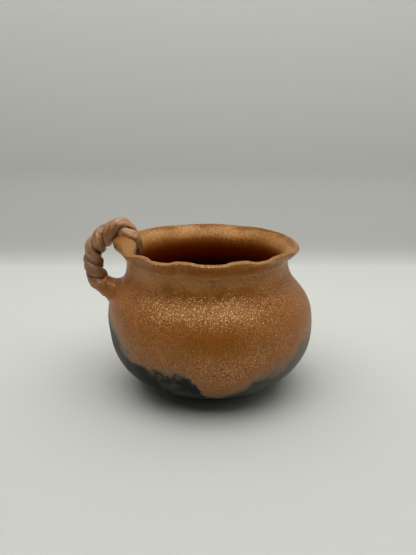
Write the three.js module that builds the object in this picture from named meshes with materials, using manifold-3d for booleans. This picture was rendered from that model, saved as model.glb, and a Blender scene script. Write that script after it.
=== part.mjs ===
// A bean pot of micaceous clay, built the way a potter builds it: a pressed base slab,
// a wall of flattened coils, a crimped rim coil, and a rope handle of two twisted strands
// that is luted to the shoulder and over the rim with wads of clay.
// Millimetres, +Z up. The origin is the centre of the flat that the pot stands on,
// and the handle is on the -X side.

import * as THREE from "three";
import { mergeVertices } from "three/addons/utils/BufferGeometryUtils.js";
import Module from "manifold-3d";

const wasm = await Module();
wasm.setup();

// Outside of the body
const BASE_RADIUS = 22.3;
const BELLY_RADIUS = 75;
const BELLY_HEIGHT = 51.9;
const NECK_RADIUS = 58;
const NECK_HEIGHT = 96.6;
const RIM_RADIUS = 65.8;
const FLARE_HEIGHT = 12; // from the neck up to the lip
const RIM_HEIGHT = NECK_HEIGHT + FLARE_HEIGHT;
const LEAN = 6; // how far the rim's centre has settled towards the handle
const SAG = 7.2; // how far the lower belly has settled towards the handle
const SAG_FOOT = 12; // the height where that settling is full
const SAG_START = 6; // and the heights between which it fades
const SAG_END = 47;

// Tangent lengths of the outline: how fully each stretch of it swells
const BASE_SWELL = 16.2;
const UNDERBELLY_SWELL = 36.5;
const SHOULDER_SWELL = 28.5;
const NECK_SWELL = 21.4;
const FLARE_SWELL = 3.5;
const LIP_SWELL = 5.3;
const LIP_SPREAD = 1.3;

// Clay and courses
const WALL = 5;
const LIP = 3.4; // the wall thins to this at the lip
const COIL_DIAMETER = 11; // a coil before it is flattened into the wall
const BASE_TURN_UP = 14; // how much of the slab's edge curves up beyond its flat
const SCARF = 3; // how much higher a course's joint is inside than outside
const SLIP_GAP = 0.3; // the film of slip between two joined lumps of clay

// Crimped rim
const RUFFLE_COUNT = 11;
const RUFFLE_DEPTH = 2.2;
const RUFFLE_DROOP = 0.8; // how much lower an outward ruffle lies
const RUFFLE_TURN = THREE.MathUtils.degToRad(272.5); // middle of the front ruffle
const CALM_SPREAD = THREE.MathUtils.degToRad(24); // where the rope's wad presses the ruffles flat
const LIP_DRAW = 3.4; // how far the lip is drawn out to meet the rope
const DRAW_SPREAD = THREE.MathUtils.degToRad(11);

// Rope handle
const ROPE_DIAMETER = 14.8;
const ROPE_PITCH = 22.8;
const ROPE_TURN = THREE.MathUtils.degToRad(-3); // turn of the strands at the root
const ROPE_GROOVE = 1.8; // how far a strand draws in where it meets the other
const STRAND_ROUNDNESS = 2.2; // 1 slopes straight into the groove, more keeps a rounder strand
const HANDLE_REACH = 95.4; // outermost side of the rope from the pot's axis
const HANDLE_ROOT_HEIGHT = 72;
const CREST_RISE = 3.2; // how far the rope's crest rides above the lip
const CREST_INSET = 4.9; // how far the crest lies inside the lip
const HANDLE_TAIL = 14; // how far the rope's end hangs below the lip, inside
const TAIL_PRESS = 6.2; // how deep the tail is pressed against the wall
const ELBOW = new THREE.Vector2(0.66, 0.29); // bend above the root, from root to outermost
const OUTERMOST_RISE = 0.5; // height of the outermost side, from root to crest
const SHOULDER_BEND = new THREE.Vector2(0.23, 0.6); // bend from outermost to crest
const TAIL_BEND = new THREE.Vector2(0.72, 0.27); // bend from crest to the tail's end

// Wads of clay that lute the rope on
const LOWER_WAD = new THREE.Vector3(10, 11, 7); // half length, half width, height
const LOWER_WAD_DROP = 1.5; // how far its middle lies below the rope's root
const UPPER_WAD = new THREE.Vector3(9.5, 14, 7.5); // half length, half width, half height
const UPPER_WAD_DROP = 7; // how far its middle lies below the lip
const UPPER_WAD_DEPTH = 8; // and inside the wall's outside
const UPPER_WAD_FRONT = 4; // and in front of the rope

// Fineness of the facets
const TURN_STEPS = 66;
const COURSE_STEPS = 2;
const BASE_STEPS = 3;
const RIM_STEPS = 4;
const LIP_STEPS = 4;
const STRAND_SIDES = 16;
const STEPS_PER_PITCH = 16;
const WAD_STEPS = new THREE.Vector2(20, 12);

const clay = (color, roughness, metalness) =>
  new THREE.MeshStandardMaterial({ color, roughness, metalness });
const finishes = {
  wall: () => clay(0x8f5f33, 0.55, 0.25),
  rim: () => clay(0x9a6638, 0.5, 0.25),
  base: () => clay(0x33302b, 0.65, 0.1),
  rope: () => clay(0x7a5636, 0.6, 0.2),
};

// The outline of the body's outside, from the edge of the base flat up to the lip
const outline = new THREE.Path();
outline.moveTo(BASE_RADIUS, 0);
outline.bezierCurveTo(
  BASE_RADIUS + BASE_SWELL, 0,
  BELLY_RADIUS, BELLY_HEIGHT - UNDERBELLY_SWELL,
  BELLY_RADIUS, BELLY_HEIGHT,
);
outline.bezierCurveTo(
  BELLY_RADIUS, BELLY_HEIGHT + SHOULDER_SWELL,
  NECK_RADIUS, NECK_HEIGHT - NECK_SWELL,
  NECK_RADIUS, NECK_HEIGHT,
);
outline.bezierCurveTo(
  NECK_RADIUS, NECK_HEIGHT + FLARE_SWELL,
  RIM_RADIUS - LIP_SPREAD, RIM_HEIGHT - LIP_SWELL,
  RIM_RADIUS, RIM_HEIGHT,
);
outline.arcLengthDivisions = 400;
const outlineLength = outline.getLength();

// A point of the wall: distance along the outline, and depth below the outside
function wallPoint(distance, depth) {
  const along = THREE.MathUtils.clamp(distance / outlineLength, 0, 1);
  const tangent = outline.getTangentAt(along);
  const inward = new THREE.Vector2(-tangent.y, tangent.x);
  return outline.getPointAt(along).addScaledVector(inward, depth);
}

function distanceAtHeight(height) {
  let low = 0;
  let high = outlineLength;
  while (high - low > SLIP_GAP / 10) {
    const middle = (low + high) / 2;
    if (wallPoint(middle, 0).y < height) low = middle;
    else high = middle;
  }
  return low;
}

// The wall's inside, which thins from the neck to the lip
const neckDistance = distanceAtHeight(NECK_HEIGHT);
function insidePoint(distance, swell) {
  const thinning = THREE.MathUtils.smoothstep(distance, neckDistance, outlineLength);
  return wallPoint(distance, THREE.MathUtils.lerp(WALL, LIP, thinning) + swell);
}

const spaced = (from, to, steps, place) => Array.from({ length: steps + 1 }, (_, i) =>
  place(THREE.MathUtils.lerp(from, to, i / steps)));
const outsidePoints = (from, to, steps, swell) =>
  spaced(from, to, steps, (distance) => wallPoint(distance, -swell));
const insidePoints = (from, to, steps, swell) =>
  spaced(from, to, steps, (distance) => insidePoint(distance, swell));

// The rounded lip, from the outside over the top to the inside
const lipDistance = outlineLength - LIP / 2;
function lipPoints(swell) {
  const middle = wallPoint(lipDistance, LIP / 2);
  const outside = wallPoint(lipDistance, -swell).sub(middle);
  const round = (angle) => outside.clone().rotateAround(new THREE.Vector2(), angle).add(middle);
  return spaced(0, Math.PI, LIP_STEPS, round);
}

// The same hand shapes every lump of the wall: it leans and sags, and the rim is crimped and drawn out
const leanAt = (z) => (-LEAN * z) / RIM_HEIGHT;

function sagAt(point) {
  const risen = THREE.MathUtils.smoothstep(point.z, 0, SAG_FOOT);
  const faded = THREE.MathUtils.smoothstep(point.z, SAG_START, SAG_END);
  const away = (Math.hypot(point.x, point.y) - point.x) / (2 * BELLY_RADIUS);
  return -SAG * risen * (1 - faded) * away;
}

function shapedByHand(point) {
  const turn = Math.atan2(point.y, point.x);
  const flare = THREE.MathUtils.smoothstep(point.z, NECK_HEIGHT, RIM_HEIGHT);
  const wave = Math.cos(RUFFLE_COUNT * (turn - RUFFLE_TURN));
  const fromHandle = Math.PI - Math.abs(turn);
  const ruffle = flare * wave * (1 - Math.exp(-((fromHandle / CALM_SPREAD) ** 2)));
  const drawn = flare * Math.exp(-((fromHandle / DRAW_SPREAD) ** 2));
  const outward = RUFFLE_DEPTH * ruffle + LIP_DRAW * drawn;
  const z = point.z - RUFFLE_DROOP * ruffle;
  return new THREE.Vector3(
    point.x + outward * Math.cos(turn) + leanAt(z) + sagAt(point),
    point.y + outward * Math.sin(turn),
    z,
  );
}

// A lump of the wall, turned from its closed profile and shaped by hand
function turned(profile) {
  const geometry = new THREE.LatheGeometry(profile, TURN_STEPS);
  geometry.rotateX(Math.PI / 2);
  const position = geometry.attributes.position;
  const point = new THREE.Vector3();
  for (let i = 0; i < position.count; i += 1) {
    point.fromBufferAttribute(position, i);
    position.setXYZ(i, ...shapedByHand(point).toArray());
  }
  return welded(geometry);
}

function welded(geometry) {
  geometry.deleteAttribute("normal");
  geometry.deleteAttribute("uv");
  return mergeVertices(geometry, 1e-4);
}

const floorMiddle = (height) => new THREE.Vector2(0, height);

function baseSlab(edge) {
  const upper = edge - SLIP_GAP / 2;
  return turned([
    floorMiddle(0),
    ...outsidePoints(0, upper, BASE_STEPS, 0),
    ...insidePoints(upper + SCARF, 0, BASE_STEPS, 0),
    floorMiddle(WALL),
  ]);
}

// A swell above zero gives the same lump grown on every side: what its neighbours clear
function wallCoil(from, to, swell = 0) {
  const lower = from + SLIP_GAP / 2 - swell;
  const upper = to - SLIP_GAP / 2 + swell;
  return turned([
    ...outsidePoints(lower, upper, COURSE_STEPS, swell),
    ...insidePoints(upper + SCARF, lower + SCARF, COURSE_STEPS, swell),
    wallPoint(lower, -swell),
  ]);
}

function rimCoil(from, swell = 0) {
  const lower = from + SLIP_GAP / 2 - swell;
  return turned([
    ...outsidePoints(lower, lipDistance, RIM_STEPS, swell).slice(0, -1),
    ...lipPoints(swell),
    ...insidePoints(lipDistance, lower + SCARF, RIM_STEPS, swell).slice(1),
    wallPoint(lower, -swell),
  ]);
}

function solid(geometry) {
  const mesh = new wasm.Mesh({
    numProp: 3,
    vertProperties: new Float32Array(geometry.attributes.position.array),
    triVerts: new Uint32Array(geometry.index.array),
  });
  return new wasm.Manifold(mesh);
}

// A cut can leave crumbs of clay: the largest lump is the piece
function geometryOf(cutSolid) {
  const lumps = cutSolid.decompose().sort((a, b) => b.volume() - a.volume());
  const mesh = lumps[0].getMesh();
  const geometry = new THREE.BufferGeometry();
  geometry.setAttribute("position", new THREE.BufferAttribute(mesh.vertProperties, 3));
  geometry.setIndex(new THREE.BufferAttribute(mesh.triVerts, 1));
  return geometry;
}

// Where a point of the wall's profile stands in the plane of the handle (x, z)
function onHandleSide(flat) {
  const shaped = shapedByHand(new THREE.Vector3(-flat.x, 0, flat.y));
  return new THREE.Vector2(shaped.x, shaped.z);
}

const mixed = (from, to, share) => new THREE.Vector2(
  THREE.MathUtils.lerp(from.x, to.x, share.x),
  THREE.MathUtils.lerp(from.y, to.y, share.y),
);

// The middle of the rope: out of the shoulder, round in a bow, over the lip and down inside
const ropeRadius = ROPE_DIAMETER / 2;
const rootDistance = distanceAtHeight(HANDLE_ROOT_HEIGHT);
const root = onHandleSide(wallPoint(rootDistance, 0));
const lipTop = onHandleSide(wallPoint(outlineLength, LIP / 2));
const crest = new THREE.Vector2(lipTop.x + CREST_INSET, lipTop.y + CREST_RISE + ropeRadius);
const outermost = new THREE.Vector2(
  ropeRadius - HANDLE_REACH,
  THREE.MathUtils.lerp(root.y, crest.y, OUTERMOST_RISE),
);
const tailWall = onHandleSide(insidePoint(outlineLength - HANDLE_TAIL, 0));
const tail = new THREE.Vector2(tailWall.x + ropeRadius - TAIL_PRESS, tailWall.y);
const ropePath = new THREE.SplineCurve([
  root,
  mixed(root, outermost, ELBOW),
  outermost,
  mixed(outermost, crest, SHOULDER_BEND),
  crest,
  mixed(crest, tail, TAIL_BEND),
  tail,
]);
ropePath.arcLengthDivisions = 400;

// One strand's section: half the rope, with its flat on the axis, drawn in at the groove
function strandSection(step) {
  const angle = (2 * Math.PI * step) / STRAND_SIDES;
  const aside = Math.min(Math.acos(Math.cos(angle)) / (Math.PI / 2), 1);
  const reach = ropeRadius - ROPE_GROOVE * aside ** STRAND_ROUNDNESS;
  return new THREE.Vector2(
    SLIP_GAP / 2 + reach * Math.max(Math.cos(angle), 0),
    reach * Math.sin(angle),
  );
}

// A strand is its section carried along the rope while it turns round the rope's axis
function strand(startTurn) {
  const length = ropePath.getLength();
  const rings = Math.ceil((length / ROPE_PITCH) * STEPS_PER_PITCH);
  const points = [];
  const faces = [];
  const place = (share, section) => {
    const centre = ropePath.getPointAt(share);
    const tangent = ropePath.getTangentAt(share);
    const twist = startTurn - (2 * Math.PI * length * share) / ROPE_PITCH;
    const spun = section.clone().rotateAround(new THREE.Vector2(), twist);
    points.push(
      centre.x - tangent.y * spun.x,
      -spun.y,
      centre.y + tangent.x * spun.x,
    );
  };
  for (let ring = 0; ring <= rings; ring += 1) {
    for (let side = 0; side < STRAND_SIDES; side += 1) place(ring / rings, strandSection(side));
  }
  const middle = new THREE.Vector2((ropeRadius + SLIP_GAP / 2) / 2, 0);
  place(0, middle);
  place(1, middle);
  const endRing = rings * STRAND_SIDES;
  const endMiddle = (rings + 1) * STRAND_SIDES;
  for (let side = 0; side < STRAND_SIDES; side += 1) {
    const next = (side + 1) % STRAND_SIDES;
    const outside = Math.cos((2 * Math.PI * (side + 0.5)) / STRAND_SIDES) > 0;
    for (let ring = 0; ring < rings; ring += 1) {
      const here = ring * STRAND_SIDES;
      const there = here + STRAND_SIDES;
      const [near, far] = outside ? [there + next, here + side] : [there + side, here + next];
      faces.push(here + side, here + next, near);
      faces.push(far, there + next, there + side);
    }
    faces.push(endMiddle, next, side);
    faces.push(endMiddle + 1, endRing + side, endRing + next);
  }
  const geometry = new THREE.BufferGeometry();
  geometry.setAttribute("position", new THREE.Float32BufferAttribute(points, 3));
  geometry.setIndex(faces);
  return geometry;
}

// A wad is a pressed ball of clay: half sizes, middle, and the slope of its length
function wad(halfSizes, middle, slope, swell) {
  const geometry = new THREE.SphereGeometry(1, WAD_STEPS.x, WAD_STEPS.y);
  geometry.scale(halfSizes.x + swell, halfSizes.y + swell, halfSizes.z + swell);
  geometry.rotateY(-slope);
  geometry.translate(middle.x, middle.y, middle.z);
  return welded(geometry);
}

// The slope of the wall between two distances along it, in the plane of the handle
function wallSlope(from, to) {
  const rise = onHandleSide(wallPoint(to, 0)).sub(onHandleSide(wallPoint(from, 0)));
  return Math.atan2(rise.y, rise.x);
}

function lowerWad(swell) {
  const start = rootDistance - LOWER_WAD_DROP;
  const middle = onHandleSide(wallPoint(start, 0));
  const slope = wallSlope(start, rootDistance);
  return wad(LOWER_WAD, new THREE.Vector3(middle.x, 0, middle.y), slope, swell);
}

function upperWad(swell) {
  const middle = onHandleSide(wallPoint(outlineLength - UPPER_WAD_DROP, UPPER_WAD_DEPTH));
  const slope = wallSlope(neckDistance, outlineLength);
  return wad(UPPER_WAD, new THREE.Vector3(middle.x, -UPPER_WAD_FRONT, middle.y), slope, swell);
}

// The courses: the slab's turned-up edge, then coils of one size, the last one the rim
const courseHeight = (Math.PI * COIL_DIAMETER ** 2) / 4 / WALL;
const courses = Math.max(2, Math.round((outlineLength - BASE_TURN_UP) / courseHeight));
const course = (outlineLength - BASE_TURN_UP) / courses;
const jointAt = (index) => BASE_TURN_UP + index * course;

const pot = new THREE.Group();
function addPiece(name, geometry, material) {
  const mesh = new THREE.Mesh(geometry, material);
  mesh.name = name;
  pot.add(mesh);
}

const rimJoint = jointAt(courses - 1);
let wallToClear = solid(rimCoil(rimJoint, SLIP_GAP));
addPiece("base_slab", baseSlab(BASE_TURN_UP), finishes.base());
for (let index = 0; index < courses - 1; index += 1) {
  const ends = [jointAt(index), jointAt(index + 1)];
  addPiece(`wall_coil_${index + 1}`, wallCoil(...ends), finishes.wall());
  wallToClear = wallToClear.add(solid(wallCoil(...ends, SLIP_GAP)));
}
addPiece("rim_coil", rimCoil(rimJoint), finishes.rim());

addPiece("lower_handle_wad", geometryOf(solid(lowerWad(0)).subtract(wallToClear)), finishes.rope());
addPiece("upper_handle_wad", geometryOf(solid(upperWad(0)).subtract(wallToClear)), finishes.rim());

const handleSeat = wallToClear.add(solid(lowerWad(SLIP_GAP))).add(solid(upperWad(SLIP_GAP)));
["a", "b"].forEach((letter, index) => {
  const twisted = solid(strand(ROPE_TURN + index * Math.PI));
  addPiece(`handle_strand_${letter}`, geometryOf(twisted.subtract(handleSeat)), finishes.rope());
});

export default pot;
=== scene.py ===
"""The looks of a bean pot of micaceous clay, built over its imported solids.

The potter coils the body up from a slab, rubs it with mica slip and crimps the rim, twists two
rolls of clay into a rope for the handle and lutes it on. The pot is fired in the open, where the
smoke leaves grey-black clouds low on the body. Metres, +Z up, the handle on the -X side.
"""

import logging
import math
from collections.abc import Mapping, Sequence
from dataclasses import dataclass
from enum import Enum
from functools import partial

import bmesh
import bpy
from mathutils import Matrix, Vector
from mathutils.bvhtree import BVHTree
from mathutils.geometry import interpolate_bezier


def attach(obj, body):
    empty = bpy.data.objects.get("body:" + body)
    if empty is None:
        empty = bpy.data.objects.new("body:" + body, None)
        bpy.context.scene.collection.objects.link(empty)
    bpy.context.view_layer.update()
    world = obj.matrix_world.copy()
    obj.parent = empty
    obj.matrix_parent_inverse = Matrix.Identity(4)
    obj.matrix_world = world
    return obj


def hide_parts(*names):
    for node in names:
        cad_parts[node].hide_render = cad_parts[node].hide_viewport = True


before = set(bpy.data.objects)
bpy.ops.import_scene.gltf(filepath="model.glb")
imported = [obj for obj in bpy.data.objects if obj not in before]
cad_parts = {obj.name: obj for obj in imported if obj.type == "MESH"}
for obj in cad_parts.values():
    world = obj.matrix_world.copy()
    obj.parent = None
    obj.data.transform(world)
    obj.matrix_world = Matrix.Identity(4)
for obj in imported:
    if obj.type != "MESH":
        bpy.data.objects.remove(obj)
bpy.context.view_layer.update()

log = logging.getLogger("bean_pot")

Socket = bpy.types.NodeSocket
Span = tuple[float, float]  # where a change starts and where it is full
Ramp = tuple[float, float, float, float]  # a span, and what its two ends turn to
Table = tuple[tuple[float, float], ...]  # places and the values there

MM = 0.001
ROOT = "root"
NOISE_SPAN = (0.25, 0.75)  # where nearly all of a noise texture's values lie
SOCKETS = {
    int: "NodeSocketInt",
    float: "NodeSocketFloat",
    bpy.types.Material: "NodeSocketMaterial",
}


class Slot(Enum):
    """The record's material slots."""

    WALL = "wall_clay"
    RIM = "rim_clay"
    ROPE = "rope_clay"


class Strand(Enum):
    """The two strands of the rope, with the turn that each starts at."""

    A = 0.0
    B = math.pi


def linear(colour: str) -> tuple[float, float, float, float]:
    """Turns an sRGB hex colour to linear red, green, blue and a full alpha.

    Args:
        colour: The colour, such as "#8a5a2b".

    Returns:
        The linear colour.
    """
    shares = [int(colour[i:i + 2], 16) / 255 for i in (1, 3, 5)]
    red, green, blue = (s / 12.92 if s <= 0.04045 else ((s + 0.055) / 1.055) ** 2.4 for s in shares)
    return red, green, blue, 1.0


def per(size: float) -> float:
    """Gives a texture's scale for a feature of a real size in metres."""
    return 1 / size


def add_node(
    tree: bpy.types.NodeTree,
    kind: str,
    inputs: Mapping[int | str, object] | Sequence[object] = (),
    points: Sequence[tuple[float, float]] = (),
    **settings: object,
) -> bpy.types.Node:
    """Adds a node with its settings, its links and its fixed values.

    Args:
        tree: The tree that gets the node.
        kind: The node's type.
        inputs: For an input's name or index, the socket that feeds it or its value. A sequence
            gives them in the node's own order.
        points: The points of a curve node, from left to right.
        settings: The node's own settings.

    Returns:
        The node.
    """
    node = tree.nodes.new(kind)
    for name, value in settings.items():
        setattr(node, name, value)
    for key, value in inputs.items() if isinstance(inputs, Mapping) else enumerate(inputs):
        if isinstance(value, Socket):
            tree.links.new(value, node.inputs[key])
        else:
            node.inputs[key].default_value = value
    if points:
        curve = node.mapping.curves[0]
        curve.points[0].location = points[0]
        curve.points[1].location = points[-1]
        for place in points[1:-1]:
            curve.points.new(*place)
        node.mapping.update()
    return node


def geometry_tree(
    name: str, sizes: Mapping[str, object]
) -> tuple[bpy.types.NodeTree, bpy.types.Node]:
    """Makes a geometry tree with a named input for each size.

    Args:
        name: The tree's name.
        sizes: The inputs' names and values.

    Returns:
        The tree and its input node.
    """
    tree = bpy.data.node_groups.new(name, "GeometryNodeTree")
    tree.interface.new_socket("Geometry", in_out="INPUT", socket_type="NodeSocketGeometry")
    for label, value in sizes.items():
        tree.interface.new_socket(label, in_out="INPUT", socket_type=SOCKETS[type(value)])
    tree.interface.new_socket("Geometry", in_out="OUTPUT", socket_type="NodeSocketGeometry")
    return tree, tree.nodes.new("NodeGroupInput")


def finish_tree(tree: bpy.types.NodeTree, geometry: Socket, size: bpy.types.Node) -> None:
    """Ends a geometry tree: smooth faces, real geometry and the piece's material.

    Args:
        tree: The tree.
        geometry: The socket that gives the shape.
        size: The tree's input node, which has the material.
    """
    smooth = add_node(tree, "GeometryNodeSetShadeSmooth", {"Geometry": geometry})
    real = add_node(tree, "GeometryNodeRealizeInstances", {"Geometry": smooth.outputs[0]})
    dressed = add_node(
        tree, "GeometryNodeSetMaterial",
        {"Geometry": real.outputs[0], "Material": size.outputs["Material"]},
    )
    add_node(tree, "NodeGroupOutput", (dressed.outputs[0],))


def plain_piece(name: str, mesh: bpy.types.Mesh) -> bpy.types.Object:
    """Puts a mesh in the scene as a piece at the origin."""
    piece = bpy.data.objects.new(name, mesh)
    bpy.context.scene.collection.objects.link(piece)
    return piece


def grown_piece(
    name: str, host: bpy.types.Object, tree: bpy.types.NodeTree, sizes: Mapping[str, object]
) -> bpy.types.Object:
    """Runs a geometry tree on a host and keeps the result as a plain mesh.

    Args:
        name: The piece's name.
        host: The object that the tree starts from, which is removed.
        tree: The geometry tree.
        sizes: The values of the tree's inputs, by name.

    Returns:
        The piece.
    """
    modifier = host.modifiers.new(tree.name, "NODES")
    modifier.node_group = tree
    for item in tree.interface.items_tree:
        if item.in_out == "INPUT" and item.name in sizes:
            modifier[item.identifier] = sizes[item.name]
    bpy.context.scene.collection.objects.link(host)
    seen = host.evaluated_get(bpy.context.evaluated_depsgraph_get())
    mesh = bpy.data.meshes.new_from_object(seen)
    mesh.name = name
    host.modifiers.remove(modifier)
    bpy.data.objects.remove(host)
    return plain_piece(name, mesh)


def lofted_piece(
    name: str, rings: Sequence[Sequence[Vector]], material: bpy.types.Material
) -> bpy.types.Object:
    """Joins closed rings of points into one closed skin, with a cap at each end.

    Args:
        name: The piece's name.
        rings: The rings, all with the same number of points.
        material: The piece's material.

    Returns:
        The piece.
    """
    work = bmesh.new()
    rows = [[work.verts.new(point) for point in ring] for ring in rings]
    for row, following in zip(rows, rows[1:]):
        for i, corner in enumerate(row):
            j = (i + 1) % len(row)
            work.faces.new((corner, row[j], following[j], following[i]))
    work.faces.new(rows[0])
    work.faces.new(reversed(rows[-1]))
    bmesh.ops.recalc_face_normals(work, faces=work.faces)
    mesh = bpy.data.meshes.new(name)
    work.to_mesh(mesh)
    work.free()
    mesh.materials.append(material)
    mesh.shade_smooth()
    return plain_piece(name, mesh)


def smoothstep(value: float, low: float, high: float) -> float:
    """Rises smoothly from 0 at low to 1 at high."""
    share = min(max((value - low) / (high - low), 0.0), 1.0)
    return share * share * (3 - 2 * share)


def mix(start: float, end: float, share: float) -> float:
    """Gives the value that lies a share of the way from start to end."""
    return start + (end - start) * share


@dataclass(frozen=True)
class ClayCues:
    """What the layers of the burnished clay go by, each a socket of the material's tree."""

    place: Socket
    height: Socket
    level: Socket  # the height that the hand's bands follow, which strays a little
    turn: Socket  # the azimuth in radians
    grain: Socket
    mottle: Socket
    deep: Socket  # how deep inside the pot, from 0 to 1, which the clay paints as shade; on the upper wad it holds the painted shade beside the rope
    within: Socket  # from 0 outside the lip to 1 inside it


@dataclass(frozen=True)
class BurnishedClay:
    """Micaceous clay rubbed with mica slip and fired in the open.

    The eye sees a warm golden brown with a soft sheen and a fine glitter where flakes catch the
    light. The amber and peach bands are partly burnishing and partly painted reflection, the neck's
    waist has painted light, the paler lip is partly rubbing and partly a painted highlight, the
    rim's inside has painted highlight patches and glints, and deeper inside is painted shade.
    Low down are charcoal clouds with a peach border.
    """

    name: str = "burnished micaceous clay"
    # amber and peach: burnished and plainer clay, laid in bands that are partly painted reflection
    amber: str = "#884c04"
    peach: str = "#985b2e"
    # bare: painted light on the neck's waist, which lies in the flare's shade
    bare: str = "#c0834a"
    dark_grain: str = "#68390f"
    pale_grain: str = "#c89055"
    # lip: paler clay on the lip, partly rubbed and partly a painted highlight
    lip: str = "#8c5d2b"
    # rim_inside: painted highlight patches on the rim's inside
    rim_inside: str = "#a06e3a"
    # inside and deep_inside_shade: painted shade down inside the pot, amber brown and then maroon
    inside: str = "#844e16"
    deep_inside_shade: str = "#742200"
    # darker towards the bottom inside
    inside_floor_dark: str = "#3f2818"
    halo: str = "#8b5125"
    smoke: str = "#7b7a71"
    charcoal: str = "#222524"
    mica: str = "#d09a55"
    sheen: str = "#ffdda6"
    ior: float = 1.5
    roughness: float = 0.36
    rough_span: Span = (0.3, 0.7)
    rough_swing: float = 0.06
    soot_roughness: float = 0.65
    pit_ramp: Ramp = (0.36, 0.5, 0.2, 0.6)  # from grain to gloss
    inside_gloss: float = 0.05
    soot_gloss: float = 0.08
    grain: float = 0.8 * MM
    grain_depth: float = 0.16 * MM
    grain_relief: float = 0.6
    grain_ramp: Ramp = (0.3, 1.0, 0.15, 1.0)  # from the peach share to grain
    calm: tuple[float, float] = (0.8, 0.25)  # the share of the neck's painted light that calms the dark grain, to this
    dark_span: Span = (0.49, 0.34)
    pale_span: Span = (0.52, 0.67)
    lip_ramp: Ramp = (0.35, 0.9, 0.0, 0.75)
    inner_from: float = 0.7  # where on the lip the inside begins
    inner_highlight_ramp: Ramp = (0.42, 0.56, 0.2, 0.85)  # from mottle to the painted highlight patches inside the rim
    shade_by: float = 0.5
    maroon_from: float = 0.4
    inside_floor_span: tuple[float, float] = (72 * MM, 45 * MM)
    flake: float = 0.72 * MM
    flake_share: float = 0.45
    flake_tilt: float = 0.26
    clay_tilt: float = 0.02
    flake_ior: float = 3.0
    flake_roughness: float = 0.26
    flake_edge: tuple[float, float] = (0.44, 0.3)
    sooty_flakes: float = 0.05
    slip_ramp: Ramp = (0.0, 1.0, 0.12, 0.4)  # from the peach share to slip
    glint_ramp: Ramp = (0.42, 0.56, 0.2, 0.95)  # from mottle to painted mica glints inside the rim
    mottle: float = 26 * MM
    # How much of the wall is amber rather than peach, partly burnishing and partly painted reflection (amber
    # where the sheen would mirror the dark room in front, peach where it would mirror the bright floor):
    # height in millimetres, a share; best in a few patches, one of them facing the front
    band_top: float = 120 * MM
    burnish_and_reflection: Table = (
        (0, 0.0), (36, 0.0), (46, 0.25), (54, 0.9), (60, 1.0), (67, 0.6), (75, 0.5), (82, 0.8), (86, 1.0),
        (89, 1.0), (92, 0.1), (95, 0.1), (100, 0.7), (104, 1.0), (120, 1.0),
    )
    patches: int = 3
    patch_azimuth: float = 268
    patch_power: float = 3.0
    patch_least: float = 0.3
    peach_ramp: Ramp = (0.3, 0.7, 0.75, 1.25)  # from mottle to the peach share
    waist: tuple[float, float, float, float] = (86.5 * MM, 92.5 * MM, 95 * MM, 102 * MM)  # painted light on the neck's waist
    neck_light_ramp: Ramp = (0.35, 0.6, 0.4, 0.8)  # from mottle to the neck's painted light
    wander: float = 3.5 * MM  # how far the bands stray up and down
    wander_span: Span = (0.3, 0.7)
    smudge: float = 18 * MM
    stroke: tuple[float, float] = (9 * MM, 0.9 * MM)  # the length and width of a burnishing stroke
    stroke_depth: float = 0.06 * MM
    stroke_relief: float = 0.5
    cloud_scale: float = 16 * MM
    cloud_ragged: float = 13 * MM
    cloud_soft: float = 7 * MM
    cloud_top: float = 80 * MM
    blotch_ramp: Ramp = (0.36, 0.54, 0.8, 1.0)
    haze_ramp: Ramp = (0.0, 0.4, 0.7, 1.0)  # from blackness to smoke
    halo_reach: float = 22 * MM
    halo_share: float = 0.55
    soot_start: float = -0.3  # in shares of the soft border, as is soot_end
    soot_end: tuple[float, float] = (1.4, 0.4)  # where a grey cloud and a black one are full
    soot_from: float = 0.5
    # How high the clouds reach and how black they are: degrees from +X, millimetres, a share. The pale grey
    # from 331 to 360 degrees is partly thin smoke and partly a painted reflection of the grazing sheen on
    # that edge
    clouds: tuple[tuple[float, float, float], ...] = (
        (180, 62, 0.4), (205, 55, 0.5), (221, 43, 0.8), (240, 35, 1.0), (255, 34.5, 1.0), (263, 19, 1.0),
        (272, 13, 0.8), (284, 21, 0.75), (296, 31, 0.7), (313, 38, 0.5), (331, 49, 0.1), (360, 58, 0.1),
        (390, 46, 0.5), (425, 35, 0.8), (450, 30, 0.8), (480, 38, 0.9), (510, 49, 0.7), (540, 62, 0.4),
    )

    def build(self) -> bpy.types.Material:
        """Makes the material.

        Returns:
            The material.
        """
        material = bpy.data.materials.new(self.name)
        material.use_nodes = True
        tree = material.node_tree
        shader = tree.nodes["Principled BSDF"]
        node = partial(add_node, tree)
        cues = self._cues(node)
        plain_and_sheen = self._peach_bands(node, cues)
        clouded, soot = self._clouded(node, cues, self._body(node, cues, plain_and_sheen))
        mask, facing = self._flakes(node, cues, soot)
        laid = node("ShaderNodeMapRange", (plain_and_sheen, *self.slip_ramp))
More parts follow.
